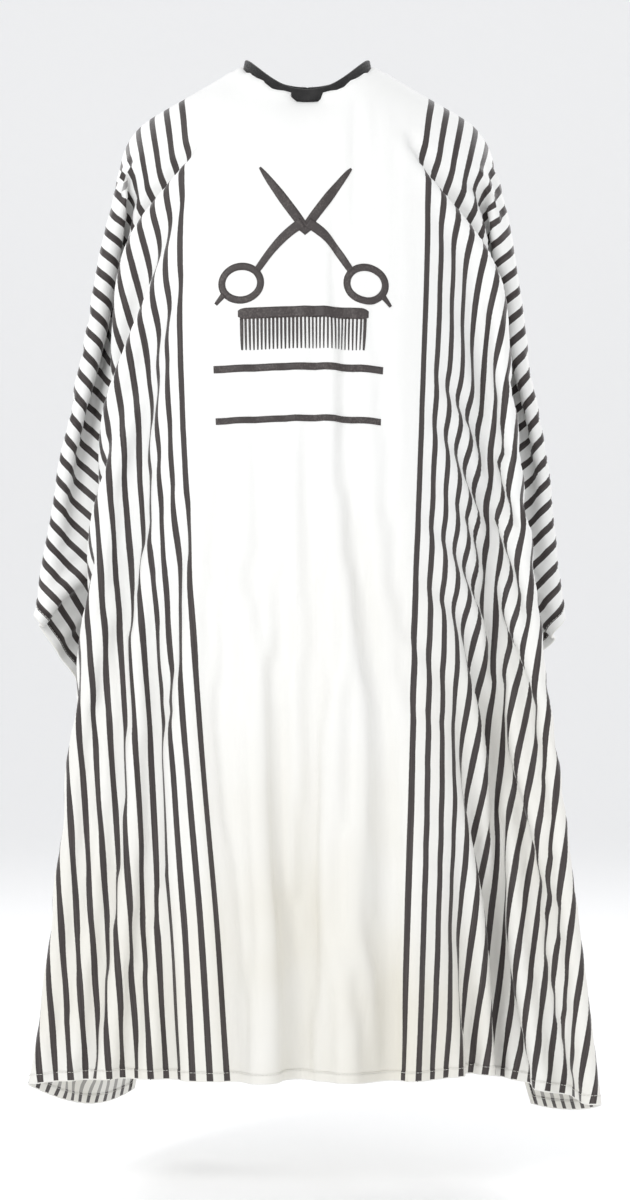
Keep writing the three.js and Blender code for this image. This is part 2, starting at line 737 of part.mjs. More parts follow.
function addClosure() {
  const backing = -outerFace - discGap - studBaseThick;
  for (let k = 0; k < studCount; k++) {
    const arc = firstStud + k * snapPitch;
    const base = studBase + studBaseThick;
    const head = [[0, studBase], [snapRadius, studBase], [snapRadius, base], [studHeadRadius, base]];
    head.push([studHeadRadius, studTop - 0.4], [studHeadRadius - 0.4, studTop], [0, studTop]);
    turned("snap_stud_" + (k + 1), head, arc, materials.snap);
    const back = disc(snapRadius, 0, studBaseThick).map(([r, h]) => [r, backing + studBaseThick - h]);
    turned("stud_backing_" + (k + 1), back.reverse(), arc, materials.snap);
  }
  for (let k = 0; k < socketCount; k++) {
    const arc = firstStud + k * snapPitch;
    const low = studBase + studBaseThick + fit;
    const high = tabInner - fit;
    const hole = studHeadRadius + socketClearance;
    const ring = [[hole, low], [snapRadius, low], [snapRadius, high], [hole, high], [hole, low]];
    turned("snap_socket_" + (k + 1), ring, arc, materials.snap);
    turned("snap_cap_" + (k + 1), disc(snapRadius, tabOuter + fit, tabOuter + fit + 1), arc, materials.snap);
  }
  const margin = (bandHeight - tabHeight) / 2;
  const high = bandHeight - margin;
  const fixed = anglesBetween(walkNeck(nape, fit), walkNeck(nape, tabRootLength), 2.5 * deg);
  const rise = (near, far) => (t) => mix(near, far, smooth(t));
  const sewn = outerFace + fit;
  const root = strip(fixed, margin, high, rise(tabInner, sewn), rise(tabOuter, sewn + tabOuter - tabInner));
  addPiece("tab_root", root, materials.tape);
  const free = anglesBetween(walkNeck(nape, -fit), walkNeck(nape, -tabLength), 4 * deg);
  const lining = strip(free, margin, high, level(tabInner), level(tabInner + tabLeaf));
  addPiece("tab_lining", lining, materials.tape);
  const cover = strip(free, margin, high, level(tabOuter - tabLeaf), level(tabOuter));
  addPiece("tab_outer", cover, materials.tape);
}

addFrontCentre();
addSidePanels("left");
addSidePanels("right");
addYoke();
addHems();
addBand();
addClosure();

export default cape;
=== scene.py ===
# Barber cape on nobody: one printed polyester sheet settled over a wearer's form, knit neckband,
# snap tab at the nape. Metres, +Z up, the wearer faces -Y.
import math

import bmesh
import bpy
import numpy as np
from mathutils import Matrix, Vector


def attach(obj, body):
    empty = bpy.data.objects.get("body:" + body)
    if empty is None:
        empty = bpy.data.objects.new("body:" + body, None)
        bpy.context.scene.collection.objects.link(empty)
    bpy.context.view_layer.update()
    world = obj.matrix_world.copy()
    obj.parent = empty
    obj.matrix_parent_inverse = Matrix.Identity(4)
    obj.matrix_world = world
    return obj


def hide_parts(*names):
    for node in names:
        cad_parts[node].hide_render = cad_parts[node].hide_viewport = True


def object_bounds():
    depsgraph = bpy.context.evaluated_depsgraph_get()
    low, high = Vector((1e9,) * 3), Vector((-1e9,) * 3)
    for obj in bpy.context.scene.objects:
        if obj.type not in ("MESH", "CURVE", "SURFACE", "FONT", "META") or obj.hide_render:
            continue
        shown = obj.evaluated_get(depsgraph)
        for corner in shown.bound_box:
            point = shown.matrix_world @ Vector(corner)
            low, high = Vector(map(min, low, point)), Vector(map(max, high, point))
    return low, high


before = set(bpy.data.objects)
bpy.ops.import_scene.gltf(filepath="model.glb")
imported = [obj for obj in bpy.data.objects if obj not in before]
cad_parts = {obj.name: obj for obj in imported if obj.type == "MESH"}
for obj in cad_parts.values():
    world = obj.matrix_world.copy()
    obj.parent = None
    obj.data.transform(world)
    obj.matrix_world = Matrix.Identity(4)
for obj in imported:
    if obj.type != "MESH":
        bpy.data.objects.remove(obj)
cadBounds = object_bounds()
print("stage: frame loaded,", len(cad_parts), "nodes")

# camera, light, floor

view = {
    "distance": 3.2,  # from the front of the cape
    "frontPlane": -0.1,
    "seenHeight": 1.44,  # what the picture's height takes in there
    "aimX": 0.0096,
    "aimZ": -0.651,
    "sensorHeight": 36.0,
}


def makeCamera():
    camera = bpy.data.cameras.new("studio_camera")
    camera.sensor_fit = "VERTICAL"
    camera.sensor_height = view["sensorHeight"]
    camera.lens = view["sensorHeight"] * view["distance"] / view["seenHeight"]
    camera.clip_end = 100
    holder = bpy.data.objects.new("studio_camera", camera)
    holder.location = (view["aimX"], view["frontPlane"] - view["distance"], view["aimZ"])
    holder.rotation_euler = (math.radians(90), 0, 0)
    bpy.context.collection.objects.link(holder)
    bpy.context.scene.camera = holder


studio = {
    "floorDrop": 0.12,  # below the lowest hem
    "halfWidth": 14.0,
    "near": -9.0,
    "far": 7.0,
    "coveRadius": 2.5,
    "height": 9.0,
    "color": (0.93, 0.93, 0.93),
    "worldColor": (0.97, 0.98, 1.0),
    "worldStrength": 0.72,
    "glow": 0.09,
    # name, size, power, place
    "lamps": [
        ("key", 1.8, 55, (-1.9, -2.8, 1.3)),
        ("fill", 2.4, 16, (2.4, -2.6, 0.1)),
        ("rim_left", 1.4, 24, (-2.1, 1.5, 0.9)),
        ("rim_right", 1.4, 24, (2.1, 1.6, 0.7)),
    ],
}


def makeStudio():
    # a pale sweep: floor, round cove and back wall in one sheet
    bottom = cadBounds[0][2] - studio["floorDrop"]
    radius = studio["coveRadius"]
    profile = [(studio["near"], bottom), (studio["far"] - radius, bottom)]
    for k in range(1, 17):
        turn = math.pi / 2 * k / 16
        away = studio["far"] - radius + radius * math.sin(turn)
        profile.append((away, bottom + radius * (1 - math.cos(turn))))
    profile.append((studio["far"], bottom + studio["height"]))
    mesh = bpy.data.meshes.new("studio_sweep")
    points = [(x, y, z) for y, z in profile for x in (-studio["halfWidth"], studio["halfWidth"])]
    faces = [(2 * k, 2 * k + 1, 2 * k + 3, 2 * k + 2) for k in range(len(profile) - 1)]
    mesh.from_pydata(points, [], faces)
    mesh.polygons.foreach_set("use_smooth", [True] * len(mesh.polygons))
    sweep = bpy.data.objects.new("studio_sweep", mesh)
    bpy.context.collection.objects.link(sweep)
    paper = plainMaterial("studio_sweep", studio["color"], 0.9)
    glow = paper.node_tree.nodes["Principled BSDF"]
    glow.inputs["Emission Color"].default_value = (1, 1, 1, 1)
    glow.inputs["Emission Strength"].default_value = studio["glow"]
    mesh.materials.append(paper)
    world = bpy.data.worlds.new("studio_world")
    bpy.context.scene.world = world
    world.use_nodes = True
    sky = world.node_tree.nodes["Background"]
    sky.inputs["Color"].default_value = (*studio["worldColor"], 1)
    sky.inputs["Strength"].default_value = studio["worldStrength"]
    for name, size, power, place in studio["lamps"]:
        lamp = bpy.data.lights.new(name, "AREA")
        lamp.shape = "DISK"
        lamp.size = size
        lamp.energy = power
        holder = bpy.data.objects.new(name, lamp)
        holder.location = place
        aim = Vector((0, 0, -0.55)) - Vector(place)
        holder.rotation_euler = aim.to_track_quat("-Z", "Y").to_euler()
        bpy.context.collection.objects.link(holder)
    bpy.context.scene.view_settings.view_transform = "Standard"


def plainMaterial(name, color, roughness):
    material = bpy.data.materials.new(name)
    material.use_nodes = True
    shader = material.node_tree.nodes["Principled BSDF"]
    shader.inputs["Base Color"].default_value = (*color, 1)
    shader.inputs["Roughness"].default_value = roughness
    return material


# neck loop

neck = {
    "halfWidth": 0.0785,
    "halfDepth": 0.057,
    "forward": 0.004,
    "frontDrop": 0.045,
    "backDrop": 0.022,
    "power": 2.2,
    "lean": 0.2,
}


def neckPoint(angle):
    c = np.abs(np.cos(angle)) ** neck["power"]
    drop = np.where(np.sin(angle) > 0, neck["backDrop"], neck["frontDrop"])
    x = neck["halfWidth"] * np.cos(angle)
    y = neck["forward"] + neck["halfDepth"] * np.sin(angle)
    return np.stack([x, y, -drop * (1 - c)], -1)


def unit(a):
    return a / np.maximum(np.linalg.norm(a, axis=-1, keepdims=True), 1e-12)


def neckFrame(angle):
    point = neckPoint(angle)
    ahead = unit(neckPoint(angle + 1e-3) - neckPoint(angle - 1e-3))
    flatOut = unit(np.stack([ahead[..., 1], -ahead[..., 0], 0 * ahead[..., 0]], -1))
    up = unit(np.cross(flatOut, ahead))
    up = up * np.where(up[..., 2:] < 0, -1, 1)
    lean = unit(up * math.cos(neck["lean"]) - flatOut * math.sin(neck["lean"]))
    out = unit(np.cross(ahead, lean))
    out = out * np.where((out * flatOut).sum(-1, keepdims=True) < 0, -1, 1)
    return point, ahead, out, lean


loopAngles = np.linspace(0, 2 * math.pi, 721)
loopLength = np.linalg.norm(np.diff(neckPoint(loopAngles), axis=0), axis=1).sum()
holeRadius = loopLength / (2 * math.pi)

# the cut sheet

sheet = {
    "width": 1.4,
    "frontLength": 1.25,
    "backLength": 0.35,
    "slit": 0.004,
    "yokeHalf": 0.125,
    "cell": 0.048,
    "hemBegin": 0.5,
    "hemRise": 0.025,
    "cornerCut": 0.07,
    "thick": 0.0007,
}


def smooth(t):
    k = np.clip(t, 0, 1)
    return k * k * (3 - 2 * k)


def spread(low, high, parts):
    count = max(1, int(math.floor(abs(high - low) / sheet["cell"] + 0.5))) * parts
    return np.linspace(low, high, count + 1)


def gridLines(low, high, parts):
    half = sheet["yokeHalf"]
    middle = spread(-half, half, parts)[1:-1]
    return np.concatenate([spread(low, -half, parts), middle, spread(half, high, parts)])


def cutSheet(parts):
    # grid of the flat cut, each cell of the plain grid split into parts
    lineU = gridLines(-sheet["width"] / 2, sheet["width"] / 2, parts)
    lineV = gridLines(-sheet["frontLength"], sheet["backLength"], parts)
    u, v = np.meshgrid(lineU, lineV, indexing="ij")
    share = np.abs(u) / (sheet["width"] / 2)
    rise = sheet["hemRise"] * smooth((share - 0.11) / 0.53)
    rise = rise + sheet["cornerCut"] * np.clip((share - 0.6) / 0.4, 0, 1) ** 2
    begin = sheet["hemBegin"]
    v = np.where(v > -begin, v, -begin - (-v - begin) * (1 - rise / (sheet["frontLength"] - begin)))
    # the slit: behind the neck the two middle lines of the plain grid lie at its edges
    inner = gridLines(-sheet["width"] / 2, sheet["width"] / 2, 1)
    slitLine = inner[len(inner) // 2]
    nextLine = inner[len(inner) // 2 + 1]
    au = np.abs(u)
    half = sheet["slit"] / 2
    opened = half + (au - slitLine) / (nextLine - slitLine) * (nextLine - half)
    behind = (v > 0) & (au < nextLine)
    live = ~(behind & (au < slitLine - 1e-6))
    u = np.where(behind, np.sign(u) * np.maximum(opened, 0), u)
    radius = np.hypot(u, v)
    cell = sheet["cell"] / parts
    live &= radius >= holeRadius - cell / 2
    rim = live & (radius < holeRadius + cell / (4 if parts == 1 else 2))
    scale = np.where(rim, holeRadius / np.maximum(radius, 1e-9), 1)
    return {
        "u": u * scale,
        "v": v * scale,
        "lineU": lineU,
        "lineV": lineV,
        "live": live,
        "rim": rim,
        "cell": cell,
        "slitLine": slitLine,
    }


# how its folds are led

panelHalf = 0.15
tipU = 0.22
folds = {
    "right": {
        "edgeX": [(0.1, 0.155), (0.35, 0.155), (0.6, 0.14), (0.85, 0.125), (1.05, 0.1), (1.26, 0.09)],
        "edgeY": -0.15,
        "rays": [
            (20, 0.1, 0.3), (41, 0.19, 0.02), (60, -0.05, 0.25),
            (80, 0.089, -0.07), (90, -0.048, -0.085),
        ],
    },
    "left": {
        "edgeX": [(0.1, 0.145), (0.25, 0.139), (0.45, 0.128), (0.65, 0.117), (1.26, 0.114)],
        "edgeY": -0.16,
        "rays": [
            (20, 0.1, 0.3),
            (41, 0.16, 0.02),
            (58, -0.05, 0.25),
            (75, 0.112, -0.1),
            (84, 0.012, -0.03),
            (90, -0.03, -0.07),
        ],
    },
}


def along(points, t, column=1):
    return np.interp(t, [p[0] for p in points], [p[column] for p in points])


def foldTarget(cut):
    u, v = cut["u"], cut["v"]
    a, d = np.abs(u), -v
    reach = np.hypot(a - tipU, v)
    angle = np.degrees(np.arctan2(d, a - tipU))
    x = np.zeros_like(u)
    y = np.zeros_like(u)
    for name, side in folds.items():
        here = u < 0 if name == "right" else u >= 0
        edgeX = along(side["edgeX"], d)
        edgeY = along([(0, -0.09), (0.25, -0.125), (0.6, side["edgeY"] + 0.02), (1.26, side["edgeY"])], d)
        middleY = along([(0, -0.095), (0.25, -0.135), (0.6, -0.15), (1.26, -0.165)], d)
        sideX = tipU - 0.002 - 0.054 * np.clip(d / 1.26, 0, 1)
        sideY = -0.03 - 0.1 * np.clip(d, 0, 1)
        wave = 0.02 * np.clip((d - 0.55) / 0.7, 0, 1) * np.cos(u / panelHalf * 2 * math.pi + 0.6)
        k = a / panelHalf
        past = (a - panelHalf) / (tipU - panelHalf)
        frontX = np.where(k <= 1, edgeX * k, edgeX + past * (sideX - edgeX))
        frontY = np.where(k <= 1, middleY + k * (edgeY - middleY) + wave, edgeY + past * (sideY - edgeY))
        rayX = tipU - 0.002 + reach * along(side["rays"], angle, 1)
        rayY = -0.03 * np.clip(reach / 0.2, 0, 1) + reach * along(side["rays"], angle, 2)
        x = np.where(here, np.sign(u) * np.where(a > tipU, rayX, frontX), x)
        y = np.where(here, np.where(a > tipU, rayY, frontY), y)
    sideHold = np.clip((reach - 0.02) / 0.06, 0, 1) * np.clip((angle - 12) / 12, 0, 1)
    return x, y, np.where(a > tipU, sideHold, np.clip(d / 0.06, 0, 1))


# the form under it

formRods = [((0, 0.02, 0.1), (0, 0.03, -0.1), 0.055)]
for s in (-1, 1):
    formRods.append(((s * 0.05, 0.005, -0.068), (s * 0.15, 0.01, -0.125), 0.078))  # shoulder
    formRods.append(((s * 0.165, 0.025, -0.105), (s * 0.265, 0.03, -0.6), 0.035))  # arm
formEggs = [((0, 0.02, -0.33), (0.185, 0.125, 0.33)), ((0, 0.03, -0.75), (0.17, 0.11, 0.38))]
standOff = 0.004


def pushOut(p, before, free, depth, normal):
    push = np.maximum(depth + standOff, 0) * free
    p += push[..., None] * normal
    move = p - before
    slide = move - (move * normal).sum(-1, keepdims=True) * normal
    grip = np.minimum(0.3 * push / (np.linalg.norm(slide, axis=-1) + 1e-9), 1)
    p -= grip[..., None] * slide


def keepOutside(p, before, free):
    for a, b, radius in formRods:
        a, b = np.array(a), np.array(b)
        t = np.clip(((p - a) @ (b - a)) / ((b - a) @ (b - a)), 0, 1)
        d = p - (a + t[..., None] * (b - a))
        far = np.linalg.norm(d, axis=-1) + 1e-9
        pushOut(p, before, free, radius - far, d / far[..., None])
    for c, s in formEggs:
        q = (p - np.array(c)) / np.array(s)
        k = np.linalg.norm(q, axis=-1) + 1e-9
        g = q / np.array(s)
        size = np.linalg.norm(g, axis=-1) + 1e-9
        pushOut(p, before, free, (1 - k) * k / size, g / size[..., None])


# settling

pace = {
    "step": 1 / 90,  # s
    "fallUntil": 0.6,  # share of the steps; after it the sheet rests under less weight
    "heavy": 9.8,
    "light": 2.0,
    "keepFalling": 0.985,
    "keepResting": 0.94,
    "bend": 0.06,
    "lead": 0.05,  # pull of the led folds
    "gather": 0.06,  # pull back into the room at the sides and behind
    "backHold": 0.1,
    "backRoom": 0.19,
    "slack": 1.04,  # how far past its cut length a point may be from the ring at first
    "fastest": 3,
}


def ramp(done, start, length):
    return min(max((done - start) / length, 0), 1)


def linkGroups(cut, bend):
    u, v, live = cut["u"], cut["v"], cut["live"]
    nu, nv = u.shape
    groups = []
    plan = [(1, 0, 0, 2, 1.0, False), (0, 1, 1, 2, 1.0, False), (1, 1, 0, 2, 0.4, False)]
    plan += [(1, -1, 0, 2, 0.4, False), (2, 0, 0, 4, bend, True), (0, 2, 1, 4, bend, True)]
    for di, dj, axis, stride, stiffness, onlyPush in plan:
        for start in range(stride):
            if axis == 0:
                ia, ja = slice(start, nu - di, stride), slice(max(0, -dj), nv - max(0, dj))
            else:
                ia, ja = slice(0, nu - di), slice(start, nv - dj, stride)
            ib = slice(ia.start + di, None if axis else nu, ia.step)
            jb = slice(ja.start + dj, None if axis else nv + min(0, dj), ja.step)
            n0, n1 = u[ia, ja].shape
            rest = np.hypot(u[ib, jb][:n0, :n1] - u[ia, ja], v[ib, jb][:n0, :n1] - v[ia, ja])
            ok = live[ia, ja] & live[ib, jb][:n0, :n1]
            across = (u[ia, ja] < 0) != (u[ib, jb][:n0, :n1] < 0)
            ok &= ~(across & (v[ia, ja] > 0) & (v[ib, jb][:n0, :n1] > 0))
            groups.append((ia, ja, ib, jb, n0, n1, rest, ok * stiffness, onlyPush))
    return groups


def solveLinks(p, weight, groups):
    for ia, ja, ib, jb, n0, n1, rest, stiffness, onlyPush in groups:
        a, b = p[ia, ja], p[ib, jb][:n0, :n1]
        wa, wb = weight[ia, ja], weight[ib, jb][:n0, :n1]
        d = b - a
        now = np.sqrt((d * d).sum(-1)) + 1e-9
        pull = stiffness / np.maximum(wa + wb, 1e-9) * (now - rest) / now
        if onlyPush:
            pull = np.minimum(pull, 0)
        a += (wa * pull)[..., None] * d
        b -= (wb * pull)[..., None] * d


def nearPairs(points, near):
    # pairs of points in the same or touching boxes of size near
    key = np.floor(points / near).astype(np.int64)
    key -= key.min(0) - 1
    span = key.max(0) + 2
    code = (key[:, 0] * span[1] + key[:, 1]) * span[2] + key[:, 2]
    order = np.argsort(code, kind="stable")
    ordered = code[order]
    pairs = []
    for dx in (-1, 0, 1):
        for dy in (-1, 0, 1):
            for dz in (-1, 0, 1):
                shift = (dx * span[1] + dy) * span[2] + dz
                if shift < 0:
                    continue
                low = np.searchsorted(ordered, code + shift, "left")
                high = np.searchsorted(ordered, code + shift, "right")
                count = high - low
                a = np.repeat(np.arange(len(code)), count)
                if not len(a):
                    continue
                offset = np.arange(len(a)) - np.repeat(np.cumsum(count) - count, count)
                b = order[np.repeat(low, count) + offset]
                keep = a < b if shift == 0 else a != b
                pairs.append(np.stack([a[keep], b[keep]], 1))
    return np.concatenate(pairs)


def keepApart(p, cut, weight, near, own):
    live = cut["live"].ravel()
    index = np.flatnonzero(live)
    flatPoints = p.reshape(-1, 3)
    pairs = index[nearPairs(flatPoints[index], near)]
    a, b = pairs[:, 0], pairs[:, 1]
    d = flatPoints[b] - flatPoints[a]
    gap = np.sqrt((d * d).sum(1)) + 1e-9
    u, v = cut["u"].ravel(), cut["v"].ravel()
    w = weight.ravel()
    free = w[a] + w[b]
    use = (gap < near) & (np.hypot(u[b] - u[a], v[b] - v[a]) >= own) & (free > 0)
    a, b, d, gap, free = a[use], b[use], d[use], gap[use], free[use]
    if not len(a):
        return
    push = (0.5 * (near - gap) / gap / free)[:, None] * d
    total = np.zeros_like(flatPoints)
    np.add.at(total, a, -push * w[a][:, None])
    np.add.at(total, b, push * w[b][:, None])
    hits = np.bincount(a, minlength=len(w)) + np.bincount(b, minlength=len(w))
    total /= np.maximum(np.sqrt(hits), 1)[:, None]
    p += total.reshape(p.shape)


def startPoints(cut):
    slope = math.radians(25)
    angle = np.arctan2(cut["v"], cut["u"])
    ring = neckPoint(angle)
    past = np.maximum(0, np.hypot(cut["u"], cut["v"]) - holeRadius)
    level = math.cos(slope)
    flatWay = np.stack([np.cos(angle) * level, np.sin(angle) * level, 0 * angle - math.sin(slope)], -1)
    return ring + past[..., None] * flatWay


def settle(cut, p, steps, rounds, fresh=True):
    groups = linkGroups(cut, pace["bend"])
    u, v, live, rim = cut["u"], cut["v"], cut["live"], cut["rim"]
    free = (live & ~rim).astype(float)
    ring = neckPoint(np.arctan2(v, u))
    past = np.maximum(0, np.hypot(u, v) - holeRadius)
    targetX, targetY, hold = foldTarget(cut)
    p[rim] = ring[rim]
    speed = np.zeros_like(p)
    dt = pace["step"]
    near, own = 0.8 * cut["cell"], 1.5 * cut["cell"]
    if not fresh:
        near, own = 0.95 * cut["cell"], 1.6 * cut["cell"]
    backMiddle = (v > 0.05) & (np.abs(u) < 0.16)
    tethered = ((v <= 0.02) & live & ~rim)[..., None]
    for step in range(steps):
        done = step / steps
        falling = fresh and done < pace["fallUntil"]
        led = pace["lead"] * (ramp(done, 0.1, 0.4) if fresh else 1)
        gathered = pace["gather"] * (ramp(done, 0.5, 0.4) if fresh else 1)
        before = p.copy()
        speed[..., 2] -= (pace["heavy"] if falling else pace["light"]) * dt
        speed *= pace["keepFalling"] if falling else pace["keepResting"]
        p += speed * dt * free[..., None]
        p[..., 0] += led * hold * (targetX - p[..., 0]) * free
        p[..., 1] += led * hold * (targetY - p[..., 1]) * free
        p[..., 0] += pace["backHold"] * (u - p[..., 0]) * backMiddle * free
        room = tipU + 0.004 + 0.195 * np.clip(-p[..., 2] - 0.081, 0, 0.6)
        p[..., 0] -= np.sign(p[..., 0]) * gathered * np.maximum(0, np.abs(p[..., 0]) - room) * free
        p[..., 1] -= gathered * np.maximum(0, p[..., 1] - pace["backRoom"]) * free
        for r in range(rounds):
            if r % 6 == 0:
                keepApart(p, cut, free, near, own)
            solveLinks(p, free, groups)
            d = p - ring
            most = np.maximum(past, 1e-6) * (1.0 if (done > 0.5 or not fresh) else pace["slack"])
            k = np.minimum(1, most / (np.linalg.norm(d, axis=-1) + 1e-9))[..., None]
            p[:] = np.where(tethered, ring + k * d, p)
            if r % 3 == 2 or r == rounds - 1:
                keepOutside(p, before, free)
        speed = (p - before) / dt
        fast = np.linalg.norm(speed, axis=-1, keepdims=True)
        speed *= np.minimum(1, pace["fastest"] / np.maximum(fast, 1e-9))
    return p


def readLines(lines, known, places):
    return np.stack([np.interp(lines, known, places[:, k]) for k in range(3)], -1)


def refine(coarse, coarseCut, cut):
    # positions of a finer grid, read between the lines of a coarser one
    p = coarse.copy()
    dead = ~coarseCut["live"]
    angle = np.arctan2(coarseCut["v"], coarseCut["u"])
    radius = np.hypot(coarseCut["u"], coarseCut["v"])
    centre = np.array([0, neck["forward"], -0.02])
    inside = centre + (neckPoint(angle) - centre) * (radius / holeRadius)[..., None]
    p[dead] = inside[dead]
    up = np.stack([readLines(cut["lineV"], coarseCut["lineV"], row) for row in p])
    out = np.stack([readLines(cut["lineU"], coarseCut["lineU"], up[:, j]) for j in range(up.shape[1])], 1)
    return np.ascontiguousarray(out)


def cubicLines(values, parts):
    # splits each step of the first axis into parts along smooth curves
    n = len(values)
    before = np.concatenate([2 * values[:1] - values[1:2], values[:-1]])
    after = np.concatenate([values[1:], 2 * values[-1:] - values[-2:-1]])
    slope = (after - before) / 2
    out = np.empty(((n - 1) * parts + 1,) + values.shape[1:])
    out[-1] = values[-1]
    for k in range(parts):
        t = k / parts
        a, b = values[:-1], values[1:]
        out[k:-1:parts] = (
            (2 * t**3 - 3 * t**2 + 1) * a
            + (t**3 - 2 * t**2 + t) * slope[:-1]
            + (-2 * t**3 + 3 * t**2) * b
            + (t**3 - t**2) * slope[1:]
        )
    return out


def fillHole(p, cut):
    # dead points get places that carry the cloth's slope on into the hole and the slit
    q = p.copy()
    known = cut["live"].copy()
    for _ in range(3):
        total = np.zeros_like(q)
        count = np.zeros(known.shape)
        for di, dj in ((1, 0), (-1, 0), (0, 1), (0, -1)):
            one = np.roll(q, (-di, -dj), (0, 1))
            two = np.roll(q, (-2 * di, -2 * dj), (0, 1))
            ok = np.roll(known, (-di, -dj), (0, 1)) & np.roll(known, (-2 * di, -2 * dj), (0, 1))
            total += np.where(ok[..., None], 2 * one - two, 0)
            count += ok
        new = ~known & (count > 0)
        q[new] = total[new] / count[new][:, None]
        known |= new
    return q


def settleSheet():
    coarse = cutSheet(1)
    p = settle(coarse, startPoints(coarse), 260, 12)
    print("stage: sheet settled, coarse")
    middle = cutSheet(2)
    p = settle(middle, refine(p, coarse, middle), 60, 8, fresh=False)
    fine = cutSheet(4)
    p = settle(fine, refine(p, middle, fine), 24, 8, fresh=False)
    print("stage: sheet settled, fine")
    return fine, p


def shownSheet(cut, p):
    # the settled grid split once more, each point with its flat place, and which points are cloth
    both = np.concatenate([p, np.stack([cut["u"], cut["v"]], -1)], -1)
    both = fillHole(both, cut)
    both = cubicLines(both, 2)
    both = cubicLines(both.transpose(1, 0, 2), 2).transpose(1, 0, 2)
    open_ = (np.abs(cut["lineU"])[:, None] < cut["slitLine"] - 1e-6) & (cut["v"] > 0)
    gap = np.zeros(both.shape[:2], bool)
    gap[::2, ::2] = open_
    gap[1::2, ::2] = open_[:-1] | open_[1:]
    gap[:, 1::2] = gap[:, :-1:2] | gap[:, 2::2]
    place, flat = both[..., :3].copy(), both[..., 3:].copy()
    radius = np.linalg.norm(flat, axis=-1)
    step = cut["cell"] / 2
    live = ~gap & (radius >= holeRadius - step / 2)
    rim = live & (radius < holeRadius + step / 2)
    flat[rim] *= (holeRadius / radius[rim])[:, None]
    place[rim] = neckPoint(np.arctan2(flat[rim][:, 1], flat[rim][:, 0]))
    alongU = np.gradient(place, axis=0)
    alongV = np.gradient(place, axis=1)
    normal = unit(np.cross(alongU, alongV))
    # the slit's edges take their slope from the row beside them
    behind = gap[len(gap) // 2]
    closed = np.flatnonzero(gap[:, -1])
    edges = closed[0] - 1, closed[-1] + 1
    normal[edges[0], behind] = normal[edges[0] - 1, behind]
    normal[edges[1], behind] = normal[edges[1] + 1, behind]
    return {"place": place, "flat": flat, "live": live, "normal": normal, "edges": edges}


def cellFaces(live):
    number = np.arange(live.size).reshape(live.shape)
    faces = []
    for i in range(live.shape[0] - 1):
        for j in range(live.shape[1] - 1):
            corners = [(i, j), (i + 1, j), (i + 1, j + 1), (i, j + 1)]
            used = [int(number[c]) for c in corners if live[c]]
            if len(used) >= 3:
                faces.append(used)
    return faces


def meshPiece(name, points, faces, material, uv=None):
    # one mesh object; uv gives a flat place in metres for each point
    used = sorted({k for f in faces for k in f})
    renumber = {k: n for n, k in enumerate(used)}
    mesh = bpy.data.meshes.new(name)
    corners = [[renumber[k] for k in f] for f in faces]
    mesh.from_pydata([tuple(map(float, points[k])) for k in used], [], corners)
    mesh.update()
    if uv is not None:
        layer = mesh.uv_layers.new(name="cut")
        table = np.array([[(uv[k][0] + 0.7) / 1.4, (uv[k][1] + 1.25) / 1.6] for k in used])
        loops = np.empty(len(mesh.loops), np.int32)
        mesh.loops.foreach_get("vertex_index", loops)
        layer.data.foreach_set("uv", table[loops].ravel())
    mesh.polygons.foreach_set("use_smooth", [True] * len(mesh.polygons))
    piece = bpy.data.objects.new(name, mesh)
    bpy.context.collection.objects.link(piece)
    for m in material if isinstance(material, (list, tuple)) else [material]:
        mesh.materials.append(m)
    return piece


def closedPiece(name, points, faces, material, uv=None):
    # a mesh piece whose faces are turned to face out
    piece = meshPiece(name, points, faces, material, uv)
    form = bmesh.new()
    form.from_mesh(piece.data)
    bmesh.ops.recalc_face_normals(form, faces=form.faces)
    form.to_mesh(piece.data)
    form.free()
    return piece


def ringFaces(faces, base, rings, size, capped=True, closed=False):
    # walls between rings of points, and a face over each end
    for k in range(rings if closed else rings - 1):
        here, ahead = base + k * size, base + (k + 1) % rings * size
        for m in range(size):
            n = (m + 1) % size
            faces.append((here + m, here + n, ahead + n, ahead + m))
    if capped and not closed:
        faces.append(tuple(base + m for m in range(size))[::-1])
        faces.append(tuple(base + (rings - 1) * size + m for m in range(size)))


class Cloth:
    # reads places off the shown sheet by their flat place
    def __init__(self, shown):
        self.flat, self.place, self.normal = shown["flat"], shown["place"], shown["normal"]
        self.columns = self.flat[0, :, 1]
        self.edges = shown["edges"]

    def at(self, u, v, lift=0.0):
        n0, n1 = self.flat.shape[:2]
        # keep clear of the columns inside the neck hole and of the rows inside the slit
        low, high, left, right = 0, n1, 0, n0
        if abs(u) < 1.3 * holeRadius:
            if v < 0:
                high = int(np.searchsorted(self.columns, -0.9 * holeRadius))
            else:
                low = int(np.searchsorted(self.columns, 0.9 * holeRadius))
        if v > 0:
            left, right = (0, self.edges[0] + 1) if u < 0 else (self.edges[1], n0)
        span, reach = np.arange(low, high), np.arange(left, right)
        j = np.interp(v, self.columns[low:high], span)
        for _ in range(5):
            j0 = min(int(j), n1 - 2)
            lineU = self.flat[:, j0, 0] * (1 - (j - j0)) + self.flat[:, j0 + 1, 0] * (j - j0)
            i = np.interp(u, lineU[left:right], reach)
            i0 = min(int(i), n0 - 2)
            lineV = self.flat[i0, :, 1]
            if i > i0:
                lineV = lineV * (1 - (i - i0)) + self.flat[i0 + 1, :, 1] * (i - i0)
            j = np.interp(v, lineV[low:high], span)
        return self.mix(i, j, lift)

    def mix(self, i, j, lift):
        n0, n1 = self.flat.shape[:2]
        i0, j0 = min(int(i), n0 - 2), min(int(j), n1 - 2)
        a, b = i - i0, j - j0
        out = []
        for field in (self.place, self.normal):
            near = field[i0, j0] * (1 - a) * (1 - b) + field[i0 + 1, j0] * a * (1 - b)
            out.append(near + field[i0, j0 + 1] * (1 - a) * b + field[i0 + 1, j0 + 1] * a * b)
        return out[0] + lift * unit(out[1]), unit(out[1])


# materials

